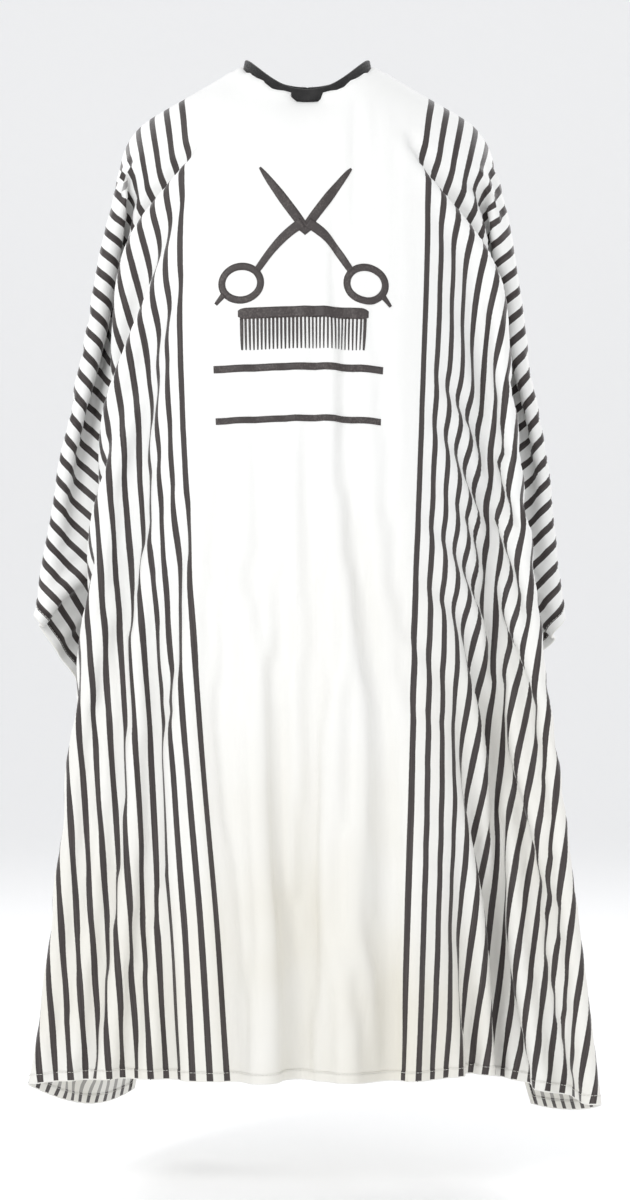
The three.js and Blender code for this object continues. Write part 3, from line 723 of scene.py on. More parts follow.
finish = {
    "white": (0.86, 0.86, 0.845),
    "warm": (0.75, 0.725, 0.65),
    "ink": (0.042, 0.034, 0.033),
    "inkWorn": (0.085, 0.072, 0.068),
    "stripePitch": 0.0205,
    "stripeDark": 0.0078,
    "whiteHalf": 0.15,
    "threadPitch": 0.00045,
}


def nodeTool(name):
    material = bpy.data.materials.new(name)
    material.use_nodes = True
    tree = material.node_tree
    shader = tree.nodes["Principled BSDF"]

    def node(kind, inputs=None, **settings):
        made = tree.nodes.new(kind)
        for key, value in settings.items():
            setattr(made, key, value)
        for key, value in (inputs or {}).items():
            if isinstance(value, bpy.types.NodeSocket):
                tree.links.new(value, made.inputs[key])
            else:
                made.inputs[key].default_value = value
        return made

    def calc(operation, a, b=0.0, c=0.0):
        return node("ShaderNodeMath", {0: a, 1: b, 2: c}, operation=operation).outputs[0]

    def link(a, b):
        tree.links.new(a, b)

    return material, shader, node, calc, link


def mixColor(node, amount, a, b):
    made = node("ShaderNodeMix", data_type="RGBA")
    for key, value in ((0, amount), (6, a), (7, b)):
        if isinstance(value, bpy.types.NodeSocket):
            made.id_data.links.new(value, made.inputs[key])
        elif key:
            made.inputs[key].default_value = (*value, 1)
        else:
            made.inputs[key].default_value = value
    return made.outputs[2]


def flatPlaces(node, calc):
    # the flat place on the cut, in metres, from the sheet's own map
    cut = node("ShaderNodeUVMap", uv_map="cut").outputs[0]
    parts = node("ShaderNodeSeparateXYZ", {0: cut})
    u = calc("MULTIPLY_ADD", parts.outputs[0], 1.4, -0.7)
    v = calc("MULTIPLY_ADD", parts.outputs[1], 1.6, -1.25)
    return u, v, node("ShaderNodeCombineXYZ", {0: u, 1: v}).outputs[0]


def noise(node, place, scale, detail, **more):
    values = {"Vector": place, "Scale": scale, "Detail": detail, **more}
    return node("ShaderNodeTexNoise", values).outputs[0]


def stretched(node, place, by):
    return node("ShaderNodeVectorMath", {0: place, 1: by}, operation="MULTIPLY").outputs[0]


def ranged(node, value, low, high, first=0.0, last=1.0):
    return node("ShaderNodeMapRange", {0: value, 1: low, 2: high, 3: first, 4: last}).outputs[0]


def bump(node, height, strength, distance):
    values = {"Strength": strength, "Distance": distance, "Height": height}
    return node("ShaderNodeBump", values).outputs[0]


def clothMaterial(name, printed):
    # plain-woven polyester; printed is how strongly the ink shows
    material, shader, node, calc, link = nodeTool(name)
    u, v, place = flatPlaces(node, calc)
    # yarns: fine lines both ways, slightly uneven
    wander = noise(node, place, 160.0, 1.0)
    warp = calc("SINE", calc("MULTIPLY_ADD", u, 2 * math.pi / finish["threadPitch"], wander))
    weft = calc("SINE", calc("MULTIPLY_ADD", v, 2 * math.pi / finish["threadPitch"], wander))
    weave = calc("MULTIPLY", warp, weft)
    # a thread here and there is thicker
    slub = noise(node, stretched(node, place, (900, 12, 1)), 1.0, 2.0)
    wrinkle = noise(node, stretched(node, place, (16, 5, 1)), 1.0, 4.0, Roughness=0.55)
    cloud = noise(node, place, 3.2, 3.0)
    # ground cloth, darker and warmer towards the hem, in soft patches
    low = ranged(node, v, -0.5, -1.15, 0.0, 0.95)
    lowerTint = calc("MULTIPLY", low, ranged(node, cloud, 0.35, 0.65, 0.35, 1.0))
    ground = mixColor(node, lowerTint, finish["white"], finish["warm"])
    # stripes either side of the white middle
    side = calc("SUBTRACT", calc("ABSOLUTE", u), finish["whiteHalf"])
    edge = calc("MULTIPLY_ADD", calc("SUBTRACT", wander, 0.5), 0.0004, side)
    turn = calc("FRACT", calc("DIVIDE", edge, finish["stripePitch"]))
    share = finish["stripeDark"] / finish["stripePitch"]
    soft = 0.012
    rising = ranged(node, turn, 0.0, soft)
    falling = ranged(node, turn, share, share + soft, 1.0, 0.0)
    stripe = calc("MULTIPLY", calc("MULTIPLY", rising, falling), calc("GREATER_THAN", side, 0.0))
    inHem = calc("LESS_THAN", calc("ABSOLUTE", u), 0.694)
    stripe = calc("MULTIPLY", stripe, inHem)
    rubbed = ranged(node, slub, 0.45, 0.75, 0.0, 0.8)
    ink = mixColor(node, rubbed, finish["ink"], finish["inkWorn"])
    shade = calc("MULTIPLY", stripe, printed)
    color = mixColor(node, shade, ground, ink)
    link(color, shader.inputs["Base Color"])
    link(ranged(node, stripe, 0.0, 1.0, 0.62, 0.5), shader.inputs["Roughness"])
    shader.inputs["Specular IOR Level"].default_value = 0.35
    shader.inputs["Sheen Weight"].default_value = 0.25
    shader.inputs["Sheen Roughness"].default_value = 0.4
    yarn = calc("MULTIPLY_ADD", slub, 0.25, calc("MULTIPLY", weave, 0.06))
    height = calc("MULTIPLY_ADD", wrinkle, 6.0, yarn)
    bump = node("ShaderNodeBump", {"Strength": 0.35, "Distance": 0.001, "Height": height})
    link(bump.outputs[0], shader.inputs["Normal"])
    return material


# the cape's cloth

def buildSheet():
    cut, p = settleSheet()
    shown = shownSheet(cut, p)
    faces = cellFaces(shown["live"])
    points = shown["place"].reshape(-1, 3)
    uv = shown["flat"].reshape(-1, 2)
    front = clothMaterial("printed_polyester", 1.0)
    back = clothMaterial("polyester_reverse", 0.62)
    piece = meshPiece("cape_sheet", points, faces, [front, back], uv)
    print("stage: sheet has", len(faces), "faces")
    thicken = piece.modifiers.new("thickness", "SOLIDIFY")
    thicken.thickness = sheet["thick"]
    thicken.offset = 0
    thicken.material_offset = 1
    thicken.material_offset_rim = 0
    area = sum(f.area for f in piece.data.polygons)
    print("stage: sheet area now", round(area, 3))
    return piece, Cloth(shown)


# hems: the edge turned over the cloth, with a row of lockstitch on both faces

hem = {
    "width": 0.012,
    "lift": 0.0009,  # outer face of the turning above the middle of the cloth
    "leaf": 0.00045,
    "roll": 0.0007,  # how far the turning stands past the cut edge
    "stitchIn": 0.0102,
    "stitch": 0.0031,
    "pitch": 0.0043,
    "thread": 0.00028,
    "step": 0.006,
}


def edgeRuns():
    # each hem as a row of (u, v, inward u, inward v)
    half, gap = sheet["width"] / 2, sheet["slit"] / 2
    lowV = lambda u: -sheet["frontLength"] + hemRiseAt(u)
    runs = {}
    us = np.linspace(-half, half, int(2 * half / hem["step"]) + 1)
    slope = [(hemRiseAt(min(u + 1e-3, half)) - hemRiseAt(max(u - 1e-3, -half))) / 2e-3 for u in us]
    runs["hem_front"] = [(u, lowV(u), -k / math.hypot(k, 1), 1 / math.hypot(k, 1)) for u, k in zip(us, slope)]
    for side, s in (("left", 1), ("right", -1)):
        vs = np.linspace(lowV(s * half), sheet["backLength"], int(1.6 / hem["step"]))
        runs["hem_side_" + side] = [(s * half, v, -s, 0) for v in vs]
        us = np.linspace(s * half, s * gap, int(half / hem["step"]))
        runs["hem_back_" + side] = [(u, sheet["backLength"], 0, -1) for u in us]
        vs = np.linspace(sheet["backLength"], holeRadius + 0.001, int(0.28 / hem["step"]))
        runs["hem_slit_" + side] = [(s * gap, v, s, 0) for v in vs]
    return runs


def hemRiseAt(u):
    share = abs(u) / (sheet["width"] / 2)
    cut = sheet["cornerCut"] * np.clip((share - 0.6) / 0.4, 0, 1) ** 2
    return float(sheet["hemRise"] * smooth((share - 0.11) / 0.53) + cut)


def hemTape(name, run, extra, material):
    # the folded edge as one closed section, U-shaped round the cloth
    depths = [1, 0.66, 0.33, 0.06]
    outer, inner = hem["lift"] + extra, hem["lift"] + extra - hem["leaf"]
    points, uv = [], []
    for u, v, du, dv in run:
        ring = []
        for d in depths:
            ring.append((d * hem["width"], outer))
        ring += [(-hem["roll"] * 0.7, outer * 0.75), (-hem["roll"], 0), (-hem["roll"] * 0.7, -outer * 0.75)]
        for d in reversed(depths):
            ring.append((d * hem["width"], -outer))
        for d in depths:
            ring.append((d * hem["width"], -inner))
        for d in reversed(depths):
            ring.append((d * hem["width"], inner))
        for inward, lift in ring:
            place, normal = cloth.at(u + du * max(inward, 0), v + dv * max(inward, 0))
            if inward < 0:
                deeper, _ = cloth.at(u + du * 0.004, v + dv * 0.004)
                away = unit(place - deeper)
                place = place + away * -inward
            points.append(place + normal * lift)
            uv.append((u + du * inward, v + dv * inward))
    size = len(points) // len(run)
    faces = []
    ringFaces(faces, 0, len(run), size)
    piece = closedPiece(name, points, faces, material, uv)
    fold = range(len(depths) - 1, len(depths) + 3)
    for face in piece.data.polygons[: size * (len(run) - 1)]:
        face.material_index = 1 if face.index % size in fold else 0
    return piece


def threadTube(points, normals, radius, sides=5):
    # one stitch: a short tube whose ends dip into the cloth
    rows = []
    for k, (p, n) in enumerate(zip(points, normals)):
        ahead = unit(points[min(k + 1, len(points) - 1)] - points[max(k - 1, 0)])
        across = unit(np.cross(ahead, n))
        up = np.cross(across, ahead)
        turns = np.linspace(0, 2 * math.pi, sides, endpoint=False)
        rows.append([p + radius * (math.cos(t) * across + math.sin(t) * up) for t in turns])
    return rows


def addThread(points, faces, path, normals, radius, sides=5, capped=True):
    base = len(points)
    for row in threadTube(path, normals, radius, sides):
        points.extend(row)
    ringFaces(faces, base, len(path), sides, capped)


def stitchRow(name, runs, extra, material):
    points, faces = [], []
    for run in runs:
        flat = np.array([(u, v) for u, v, _, _ in run])
        into = np.array([(a, b) for _, _, a, b in run])
        line = flat + into * hem["stitchIn"]
        far = np.concatenate([[0], np.cumsum(np.linalg.norm(np.diff(line, axis=0), axis=1))])
        start = hem["pitch"]
        while start + hem["stitch"] < far[-1]:
            for face in (1, -1):
                path, normals = [], []
                for t, dip in ((0, -0.6), (0.2, 0.5), (0.8, 0.5), (1, -0.6)):
                    at = start + t * hem["stitch"] + (hem["pitch"] / 2 if face < 0 else 0)
                    u, v = np.interp(at, far, line[:, 0]), np.interp(at, far, line[:, 1])
                    lift = face * (hem["lift"] + extra + dip * hem["thread"])
                    place, normal = cloth.at(u, v, lift)
                    path.append(place)
                    normals.append(normal * face)
                addThread(points, faces, np.array(path), normals, hem["thread"])
            start += hem["pitch"]
    return closedPiece(name, points, faces, material)


def tapeMaterial(name, light, dark, roughness, pitch):
    # woven or turned cloth in one colour with a soft variation along it
    material, shader, node, calc, link = nodeTool(name)
    place = node("ShaderNodeTexCoord").outputs["Object"]
    cloud = noise(node, place, 26.0, 4.0)
    fine = noise(node, place, 1.0 / pitch, 2.0)
    tint = mixColor(node, ranged(node, cloud, 0.3, 0.7), light, dark)
    link(tint, shader.inputs["Base Color"])
    link(ranged(node, fine, 0.0, 1.0, roughness - 0.08, roughness + 0.08), shader.inputs["Roughness"])
    shader.inputs["Sheen Weight"].default_value = 0.2
    shader.inputs["Specular IOR Level"].default_value = 0.3
    height = calc("ADD", fine, calc("MULTIPLY", cloud, 1.5))
    link(bump(node, height, 0.5, 0.0004), shader.inputs["Normal"])
    return material


def buildHems():
    foldEdge = tapeMaterial("hem_fold", (0.85, 0.845, 0.82), (0.78, 0.765, 0.71), 0.62, 0.0006)
    material = [clothMaterial("printed_turning", 1.0), foldEdge]
    threadMaterial = tapeMaterial("sewing_thread", (0.8, 0.79, 0.75), (0.62, 0.6, 0.55), 0.5, 0.0002)
    pieces = []
    runs = edgeRuns()
    for name, run in runs.items():
        # side hems are turned last, so they lie over the others at the corners
        extra = 0.0002 if "side" in name else 0.0
        piece = hemTape(name + "_turning", run, extra, material)
        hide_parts(name)
        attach(piece, "root")
        pieces.append(piece)
    threads = stitchRow("hem_stitching", list(runs.values()), 0.0002, threadMaterial)
    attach(threads, "root")
    pieces.append(threads)
    print("stage: hems,", len(threads.data.polygons), "faces of thread")
    return pieces


# chest print: open scissors over a comb, with plain rules beneath

emblem = {
    "lift": 0.00075,
    "ink": 0.00012,
    "step": 0.003,
    "pivotZ": -0.206,
    "bladeTip": (0.056, 0.07),
    "bladeHalf": 0.0085,
    "shankEnd": (0.058, -0.05),
    "ringCentre": (0.077, -0.064),
    "ringSize": (0.0235, 0.0195),
    "ringHalf": 0.0042,
    "combTopZ": -0.302,
    "combHalf": 0.081,
    "combSpine": 0.013,
    "teeth": 33,
    "toothLength": 0.036,
    # middle height, half height, left and right ends
    "rules": [(-0.374, 0.0042, -0.112, 0.102), (-0.4355, 0.0038, -0.112, 0.102)],
}


def inkStrip(points, faces, line, halves, lift, closed=False):
    # a flat strip along a line on the cut, laid on the cloth as a thin slab
    line, halves = np.asarray(line, float), np.asarray(halves, float)
    if closed:
        ahead = np.roll(line, -1, 0) - np.roll(line, 1, 0)
    else:
        ahead = np.gradient(line, axis=0)
    across = unit(np.stack([-ahead[:, 1], ahead[:, 0]], -1))
    columns = max(1, int(math.ceil(2 * halves.max() / emblem["step"])))
    base = len(points)
    for (u, v), half, (a, b) in zip(line, halves, across):
        ways = np.linspace(-1, 1, columns + 1)
        for high, row in ((emblem["ink"], ways), (0.0, np.linspace(1, -1, columns + 1))):
            for way in row:
                place, normal = cloth.at(u + a * half * way, v + b * half * way)
                points.append(place + normal * (lift + high))
    ringFaces(faces, base, len(line), 2 * (columns + 1), closed=closed)


def stepped(a, b, steps=None):
    # a line cut into short steps
    a, b = np.array(a, float), np.array(b, float)
    steps = steps or max(2, int(np.linalg.norm(b - a) / emblem["step"]))
    return a + (b - a) * np.linspace(0, 1, steps + 1)[:, None]


def inkMaterial():
    material, shader, node, calc, link = nodeTool("screen_ink")
    place = node("ShaderNodeTexCoord").outputs["Object"]
    worn = noise(node, place, 420.0, 4.0)
    broad = noise(node, place, 22.0, 3.0)
    rubbed = ranged(node, calc("MULTIPLY", worn, calc("ADD", broad, 0.5)), 0.5, 0.72)
    link(mixColor(node, rubbed, finish["ink"], finish["inkWorn"]), shader.inputs["Base Color"])
    shader.inputs["Roughness"].default_value = 0.52
    link(bump(node, worn, 0.25, 0.0002), shader.inputs["Normal"])
    return material


def buildPrint():
    levels = np.linspace(-1.1, -0.12, 300)
    heights = [cloth.at(0.0, v)[0][2] for v in levels]

    def flatV(z):
        return float(np.interp(z, heights, levels))

    points, faces = [], []
    pivot = flatV(emblem["pivotZ"])
    for s, lift in ((1, emblem["lift"]), (-1, emblem["lift"] + 0.00004)):
        tipU, tipV = emblem["bladeTip"]
        endU, endV = emblem["shankEnd"]
        # blade: straight back, belly on the cutting side
        blade = stepped((-0.004 * s, -0.008 + pivot), (s * tipU, pivot + tipV))
        t = np.linspace(0, 1, len(blade))
        belly = 0.55 + 0.45 * np.sin(np.pi * np.clip(t * 1.25, 0, 1) * 0.5)
        widths = emblem["bladeHalf"] * belly * np.sqrt(np.clip(1.02 - t, 0, 1))
        inkStrip(points, faces, blade, np.maximum(widths, 0.0006), lift)
        shank = stepped((-0.003 * s, pivot + 0.004), (s * -endU, pivot + endV))
        t = np.linspace(0, 1, len(shank))
        shank[:, 1] += 0.006 * np.sin(np.pi * t)
        inkStrip(points, faces, shank, 0.0062 - 0.0022 * t, lift + 0.00008)
        ringU, ringV = emblem["ringCentre"]
        turns = np.linspace(0, 2 * math.pi, 48, endpoint=False)
        wide, tall = emblem["ringSize"]
        ring = np.stack([-s * ringU + wide * np.cos(turns), pivot + ringV + tall * np.sin(turns)], -1)
        inkStrip(points, faces, ring, np.full(48, emblem["ringHalf"]), lift + 0.00002, closed=True)
        restFrom = (-s * (ringU + 0.021), pivot + ringV - 0.012)
        rest = stepped(restFrom, (-s * (ringU + 0.031), pivot + ringV - 0.023), 5)
        inkStrip(points, faces, rest, np.linspace(0.0036, 0.002, 6), lift + 0.00003)
    top = flatV(emblem["combTopZ"])
    half, spine = emblem["combHalf"], emblem["combSpine"]
    row = stepped((-half, top - spine / 2), (half, top - spine / 2))
    ends = np.minimum(half - np.abs(row[:, 0]), 0.008) / 0.008
    inkStrip(points, faces, row, spine / 2 * (0.55 + 0.45 * np.sqrt(ends)), emblem["lift"])
    pitch = 2 * (half - 0.002) / emblem["teeth"]
    for k in range(emblem["teeth"]):
        u = -half + 0.002 + (k + 0.5) * pitch
        guard = k in (0, emblem["teeth"] - 1)
        # one pitch throughout; the teeth of one half are thinner
        width = pitch * (0.42 if guard else 0.3 if u < 0 else 0.24)
        tooth = stepped((u, top - spine + 0.001), (u, top - spine - emblem["toothLength"]), 9)
        t = np.linspace(0, 1, 10)
        inkStrip(points, faces, tooth, width * (1 - 0.45 * t**3), emblem["lift"] + 0.00003)
    for z, tall, left, right in emblem["rules"]:
        v = flatV(z)
        line = stepped((left, v), (right, v))
        inkStrip(points, faces, line, np.full(len(line), tall), emblem["lift"])
    piece = closedPiece("chest_print", points, faces, inkMaterial())
    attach(piece, "root")
    print("stage: chest print,", len(piece.data.polygons), "faces")
    return piece


# neckband: rib-knit sleeve folded over the elastic

band = {
    "height": 0.017,
    "face": 0.0021,  # outer face from the middle of the band
    "ribPitch": 0.0017,
    "ribDepth": 0.00032,
    "edgeRound": 0.0013,
    "endGap": 0.002,
    "fuzzCount": 2600,
    "fuzzLength": 0.0016,
    "fuzzRadius": 0.00004,
    "seamPitch": 0.0024,
    "seamThread": 0.00018,
    "seamOffset": -0.0028,
    "seamHigh": 0.0012,
    "seamLow": -0.0022,
    "seamDip": 0.0006,
}
nape = math.pi / 2


def walkNeck(start, length):
    # angle reached after walking a length along the loop
    angle, left, way = start, abs(length), math.copysign(1, length)
    while left > 1e-9:
        part = min(left, 0.0005)
        speed = np.linalg.norm(neckPoint(angle + 1e-4) - neckPoint(angle)) / 1e-4
        angle += way * part / speed
        left -= part
    return angle


def bandAngles(start, length, step):
    # angles at even lengths along the loop
    count = max(2, int(round(abs(length) / step)) + 1)
    fine = np.linspace(start, start + math.copysign(2 * math.pi, length) * 1.02, 4000)
    far = np.concatenate([[0], np.cumsum(np.linalg.norm(np.diff(neckPoint(fine), axis=0), axis=1))])
    return np.interp(np.linspace(0, abs(length), count), far, fine)


def onBand(angle, offset, height):
    # a place by its offset out of the band's middle and its height up the band
    point, _, out, up = neckFrame(np.asarray(angle, float))
    return point + out * np.asarray(offset)[..., None] + up * np.asarray(height)[..., None]


def roundedSection(face, height, radius, rows, inset=0.0):
    # closed outline of offset and height, rounded at the top and bottom
    low, high = inset, height - inset
    outline = [(face, h) for h in np.linspace(low + radius, high - radius, rows)]
    for k in range(1, 6):
        t = math.pi * k / 6
        outline.append((face * math.cos(t), high - radius + radius * math.sin(t)))
    outline += [(-face, h) for h in np.linspace(high - radius, low + radius, rows)]
    for k in range(1, 6):
        t = math.pi * k / 6
        outline.append((-face * math.cos(t), low + radius - radius * math.sin(t)))
    return outline


def sweptPiece(name, angles, section, material, swell=None):
    # a section carried along the band; swell(k, offset, height) moves each point outward
    points, faces = [], []
    size = len(section)
    offsets = np.array([o for o, _ in section])
    heights = np.array([h for _, h in section])
    for k, angle in enumerate(angles):
        extra = swell(k, offsets, heights) if swell else 0.0
        points.extend(onBand(np.full(size, angle), offsets + extra, heights))
    ringFaces(faces, 0, len(angles), size)
    return closedPiece(name, points, faces, material)


def knitMaterial():
    material, shader, node, calc, link = nodeTool("rib_knit")
    place = node("ShaderNodeTexCoord").outputs["Object"]
    stitch = node("ShaderNodeTexVoronoi", {"Vector": place, "Scale": 1250.0}, feature="F1").outputs[0]
    cloud = noise(node, place, 90.0, 4.0)
    fine = noise(node, place, 2600.0, 3.0)
    tone = calc("MULTIPLY_ADD", fine, 0.5, calc("MULTIPLY", cloud, 0.5))
    tint = mixColor(node, ranged(node, tone, 0.35, 0.65), (0.008, 0.008, 0.0085), (0.03, 0.029, 0.029))
    link(tint, shader.inputs["Base Color"])
    link(ranged(node, fine, 0.0, 1.0, 0.8, 0.98), shader.inputs["Roughness"])
    shader.inputs["Sheen Weight"].default_value = 0.45
    shader.inputs["Sheen Roughness"].default_value = 0.5
    shader.inputs["Specular IOR Level"].default_value = 0.2
    height = calc("MULTIPLY_ADD", stitch, -1.2, fine)
    link(bump(node, height, 0.7, 0.0003), shader.inputs["Normal"])
    return material


def buildBand():
    knit = knitMaterial()
    length = loopLength - 2 * band["endGap"]
    angles = bandAngles(walkNeck(nape, band["endGap"]), length, band["ribPitch"] / 6)
    section = roundedSection(band["face"], band["height"], band["edgeRound"], 9)
    step = length / (len(angles) - 1)

    def ribs(k, offsets, heights):
        phase = 2 * math.pi * k * step / band["ribPitch"]
        wale = band["ribDepth"] * (abs(math.cos(phase / 2)) ** 0.6 - 1.0)
        courses = 0.00006 * np.sin(2 * math.pi * heights / 0.0011 + phase)
        side = np.clip(offsets / band["face"], -1, 1)
        return side * (wale + courses)

    sleeve = sweptPiece("neckband_knit", angles, section, knit, ribs)
    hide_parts("neckband_outer", "neckband_inner")
    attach(sleeve, "root")
    fuzz = bandFuzz(knit)
    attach(fuzz, "root")
    seam = bandSeam()
    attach(seam, "root")
    elastic = bpy.data.objects["neckband_elastic"]
    elastic.data.materials.clear()
    rubber = tapeMaterial("elastic_core", (0.75, 0.74, 0.7), (0.6, 0.59, 0.55), 0.7, 0.0005)
    elastic.data.materials.append(rubber)
    print("stage: neckband,", len(sleeve.data.polygons), "faces")


def bandFuzz(material):
    # loose fibre ends standing off the knit
    rng = np.random.default_rng(7)
    points, faces = [], []
    for _ in range(band["fuzzCount"]):
        angle = nape + 2 * math.pi * rng.random()
        height = band["height"] * rng.random()
        side = 1 if rng.random() < 0.75 else -1
        point, ahead, out, up = neckFrame(np.array(angle))
        if rng.random() < 0.3:
            root = point + up * (band["height"] - 0.0002) + out * band["face"] * (2 * rng.random() - 1) * 0.6
            normal = up
        else:
            root = point + out * side * (band["face"] - 0.0002) + up * height
            normal = out * side
        lean = unit(normal + 0.9 * (rng.random() - 0.5) * ahead + 0.9 * (rng.random() - 0.5) * up)
        curl = unit(lean + 1.2 * (rng.random() - 0.5) * ahead - 0.5 * up)
        length = band["fuzzLength"] * (0.4 + 0.6 * rng.random())
        path = [root, root + lean * length * 0.5, root + lean * length * 0.5 + curl * length * 0.5]
        base = len(points)
        across = unit(np.cross(lean, up + 0.01))
        other = unit(np.cross(lean, across))
        for n, p in enumerate(path[:2]):
            r = band["fuzzRadius"] * (1 - 0.3 * n)
            points.extend(p + r * (math.cos(t) * across + math.sin(t) * other) for t in (0, 2.094, 4.189))
        points.append(path[2])
        for m in range(3):
            n = (m + 1) % 3
            faces.append((base + m, base + n, base + 3 + n, base + 3 + m))
            faces.append((base + 3 + m, base + 3 + n, base + 6))
        faces.append((base + 2, base + 1, base))
    return meshPiece("neckband_fuzz", points, faces, material)


def bandSeam():
    # the overlock that joins band and cloth: slanted stitches over the edge, inside the neck
    points, faces = [], []
    length = loopLength - 2 * band["endGap"] - 0.002
    angles = bandAngles(walkNeck(nape, band["endGap"] + 0.001), length, band["seamPitch"])
    offset, high, low, dip = band["seamOffset"], band["seamHigh"], band["seamLow"], band["seamDip"]
    for a, b in zip(angles[:-1], angles[1:]):
        for start, end in (((a, high), (b, low)), ((b, low), (b, high))):
            p, q = onBand(start[0], offset, start[1]), onBand(end[0], offset, end[1])
            out = neckFrame(np.array(start[0]))[2]
            path = np.array([p + out * dip, p, q, q + out * dip])
            addThread(points, faces, path, [-out] * 4, band["seamThread"], capped=False)
    thread = tapeMaterial("overlock_thread", (0.03, 0.03, 0.031), (0.012, 0.012, 0.012), 0.6, 0.0003)
    return closedPiece("neckband_overlock", points, faces, thread)


# tab and snaps at the nape

closure = {
    "length": 0.052,
    "rootLength": 0.02,
    "height": 0.016,
    "leaf": 0.0013,
    "gap": 0.0003,
    "snapPitch": 0.022,
    "studs": 4,
    "sockets": 2,
    "radius": 0.005,
    "headRadius": 0.0021,
    "headHeight": 0.0013,
    "baseThick": 0.0008,
    "firstStud": 0.018,
    "clearance": 0.0007,
    "discGap": 0.0006,
    "stitchIn": 0.0019,
    "foldRadius": 0.00032,
    "corner": 0.0035,
    "endGap": 0.0003,
}
studBase = band["face"] + closure["gap"]
studTop = studBase + closure["baseThick"] + closure["headHeight"]
tabInner = studTop + closure["gap"]
tabOuter = tabInner + 2 * closure["leaf"] + closure["gap"]


def leafPiece(name, start, length, offsetAt, thick, material):
    # one leaf of tape along the band, its far end rounded; offsetAt(t) gives its inner face
    count = max(8, int(length / 0.0009))
    angles = bandAngles(walkNeck(nape, start), math.copysign(length, start or -1), length / count)
    margin = (band["height"] - closure["height"]) / 2
    corner = closure["corner"]
    points, faces = [], []
    rows = 12
    bevel = thick * 0.35
    for k, angle in enumerate(angles):
        t = k / (len(angles) - 1)
        left = length - t * length
        trim = 0.0
        if left < corner:
            trim = max(0.0, corner - math.sqrt(max(corner**2 - (corner - left) ** 2, 0)))
        low, high = margin + trim, band["height"] - margin - trim
        inner = offsetAt(t)
        section = [(inner + thick, h) for h in np.linspace(low + bevel, high - bevel, rows)]
        section += [(inner + thick - bevel * 0.3, high - bevel * 0.3), (inner + thick - bevel, high)]
        section += [(inner + bevel, high), (inner + bevel * 0.3, high - bevel * 0.3)]
        section += [(inner, h) for h in np.linspace(high - bevel, low + bevel, rows)]
        section += [(inner + bevel * 0.3, low + bevel * 0.3), (inner + bevel, low)]
        section += [(inner + thick - bevel, low), (inner + thick - bevel * 0.3, low + bevel * 0.3)]
        size = len(section)
        offsets, heights = np.array(section).T
        points.extend(onBand(np.full(size, angle), offsets, heights))
    ringFaces(faces, 0, len(angles), size)
    return closedPiece(name, points, faces, material)


def tabStitches(name, start, length, offset, material):
    # a box of stitches just in from the edge of the tab
    inset = closure["stitchIn"]
    low = (band["height"] - closure["height"]) / 2 + inset
    high = band["height"] - low
    way = math.copysign(1, start)
    fine = bandAngles(walkNeck(nape, start), way * length, 0.0005)
    far = np.linspace(0, length, len(fine))
    outline = [(inset, low), (length - inset, low), (length - inset, high), (inset, high), (inset, low)]
    points, faces = [], []
    pitch, stitch, radius = 0.0026, 0.0019, 0.0002
    for (a, b), (c, d) in zip(outline[:-1], outline[1:]):
        run = math.hypot(c - a, d - b)
        count = int(run / pitch)
        for n in range(count):
            path, normals = [], []
            for t, dip in ((0, -1), (0.2, 0.6), (0.8, 0.6), (1, -1)):
                k = (n * run / count + t * stitch + 0.0003) / run
                angle = float(np.interp(a + k * (c - a), far, fine))
                level = b + k * (d - b)
                path.append(onBand(angle, offset + dip * radius, level))
                normals.append(neckFrame(np.array(angle))[2])
            addThread(points, faces, np.array(path), normals, radius)
    return closedPiece(name, points, faces, material)


def tabFold(material):
    # the tape carried across the fold, on the line that the tab turns about
    rows, radius = 6, closure["foldRadius"]
    heights = np.linspace(band["height"] - closure["height"], closure["height"], rows)
    path = onBand(np.full(rows, nape), np.full(rows, tabOuter - radius), heights)
    points, faces = [], []
    addThread(points, faces, path, [neckFrame(np.array(nape))[2]] * rows, radius, sides=10)
    return closedPiece("tab_fold_tape", points, faces, material)


def turnedPiece(name, profile, arc, material, sides=40):
    # a profile of radius and offset turned about an axis that stands on the band
    angle = walkNeck(nape, -arc)
    point, ahead, out, up = neckFrame(np.array(angle))
    centre = point + up * band["height"] / 2
    third = np.cross(ahead, out)
    closed = profile[0][0] > 1e-6
    points, faces = [], []
    for r, h in profile:
        turns = sides if r > 1e-6 else 1
        for k in range(turns):
            t = 2 * math.pi * k / sides
            points.append(centre + r * (math.cos(t) * ahead + math.sin(t) * third) + out * h)
    starts, n = [], 0
    for r, _ in profile:
        starts.append(n)
        n += sides if r > 1e-6 else 1
    pairs = list(zip(range(len(profile)), list(range(1, len(profile))) + ([0] if closed else [])))
    for a, b in pairs:
        ra, rb = profile[a][0] > 1e-6, profile[b][0] > 1e-6
        for k in range(sides):
            m = (k + 1) % sides
            if ra and rb:
                faces.append((starts[a] + k, starts[a] + m, starts[b] + m, starts[b] + k))
            elif ra:
                faces.append((starts[a] + k, starts[a] + m, starts[b]))
            elif rb:
                faces.append((starts[a], starts[b] + m, starts[b] + k))
    return closedPiece(name, points, faces, material)


def snapMaterial():
    material, shader, node, _, link = nodeTool("gunmetal_snap")
    place = node("ShaderNodeTexCoord").outputs["Object"]
    scuff = noise(node, place, 900.0, 5.0)
    broad = noise(node, place, 160.0, 3.0)
    tint = mixColor(node, ranged(node, broad, 0.35, 0.7), (0.045, 0.045, 0.048), (0.11, 0.108, 0.105))
    link(tint, shader.inputs["Base Color"])
    shader.inputs["Metallic"].default_value = 0.9
    link(ranged(node, scuff, 0.0, 1.0, 0.24, 0.46), shader.inputs["Roughness"])
    link(bump(node, scuff, 0.2, 0.0001), shader.inputs["Normal"])
    return material


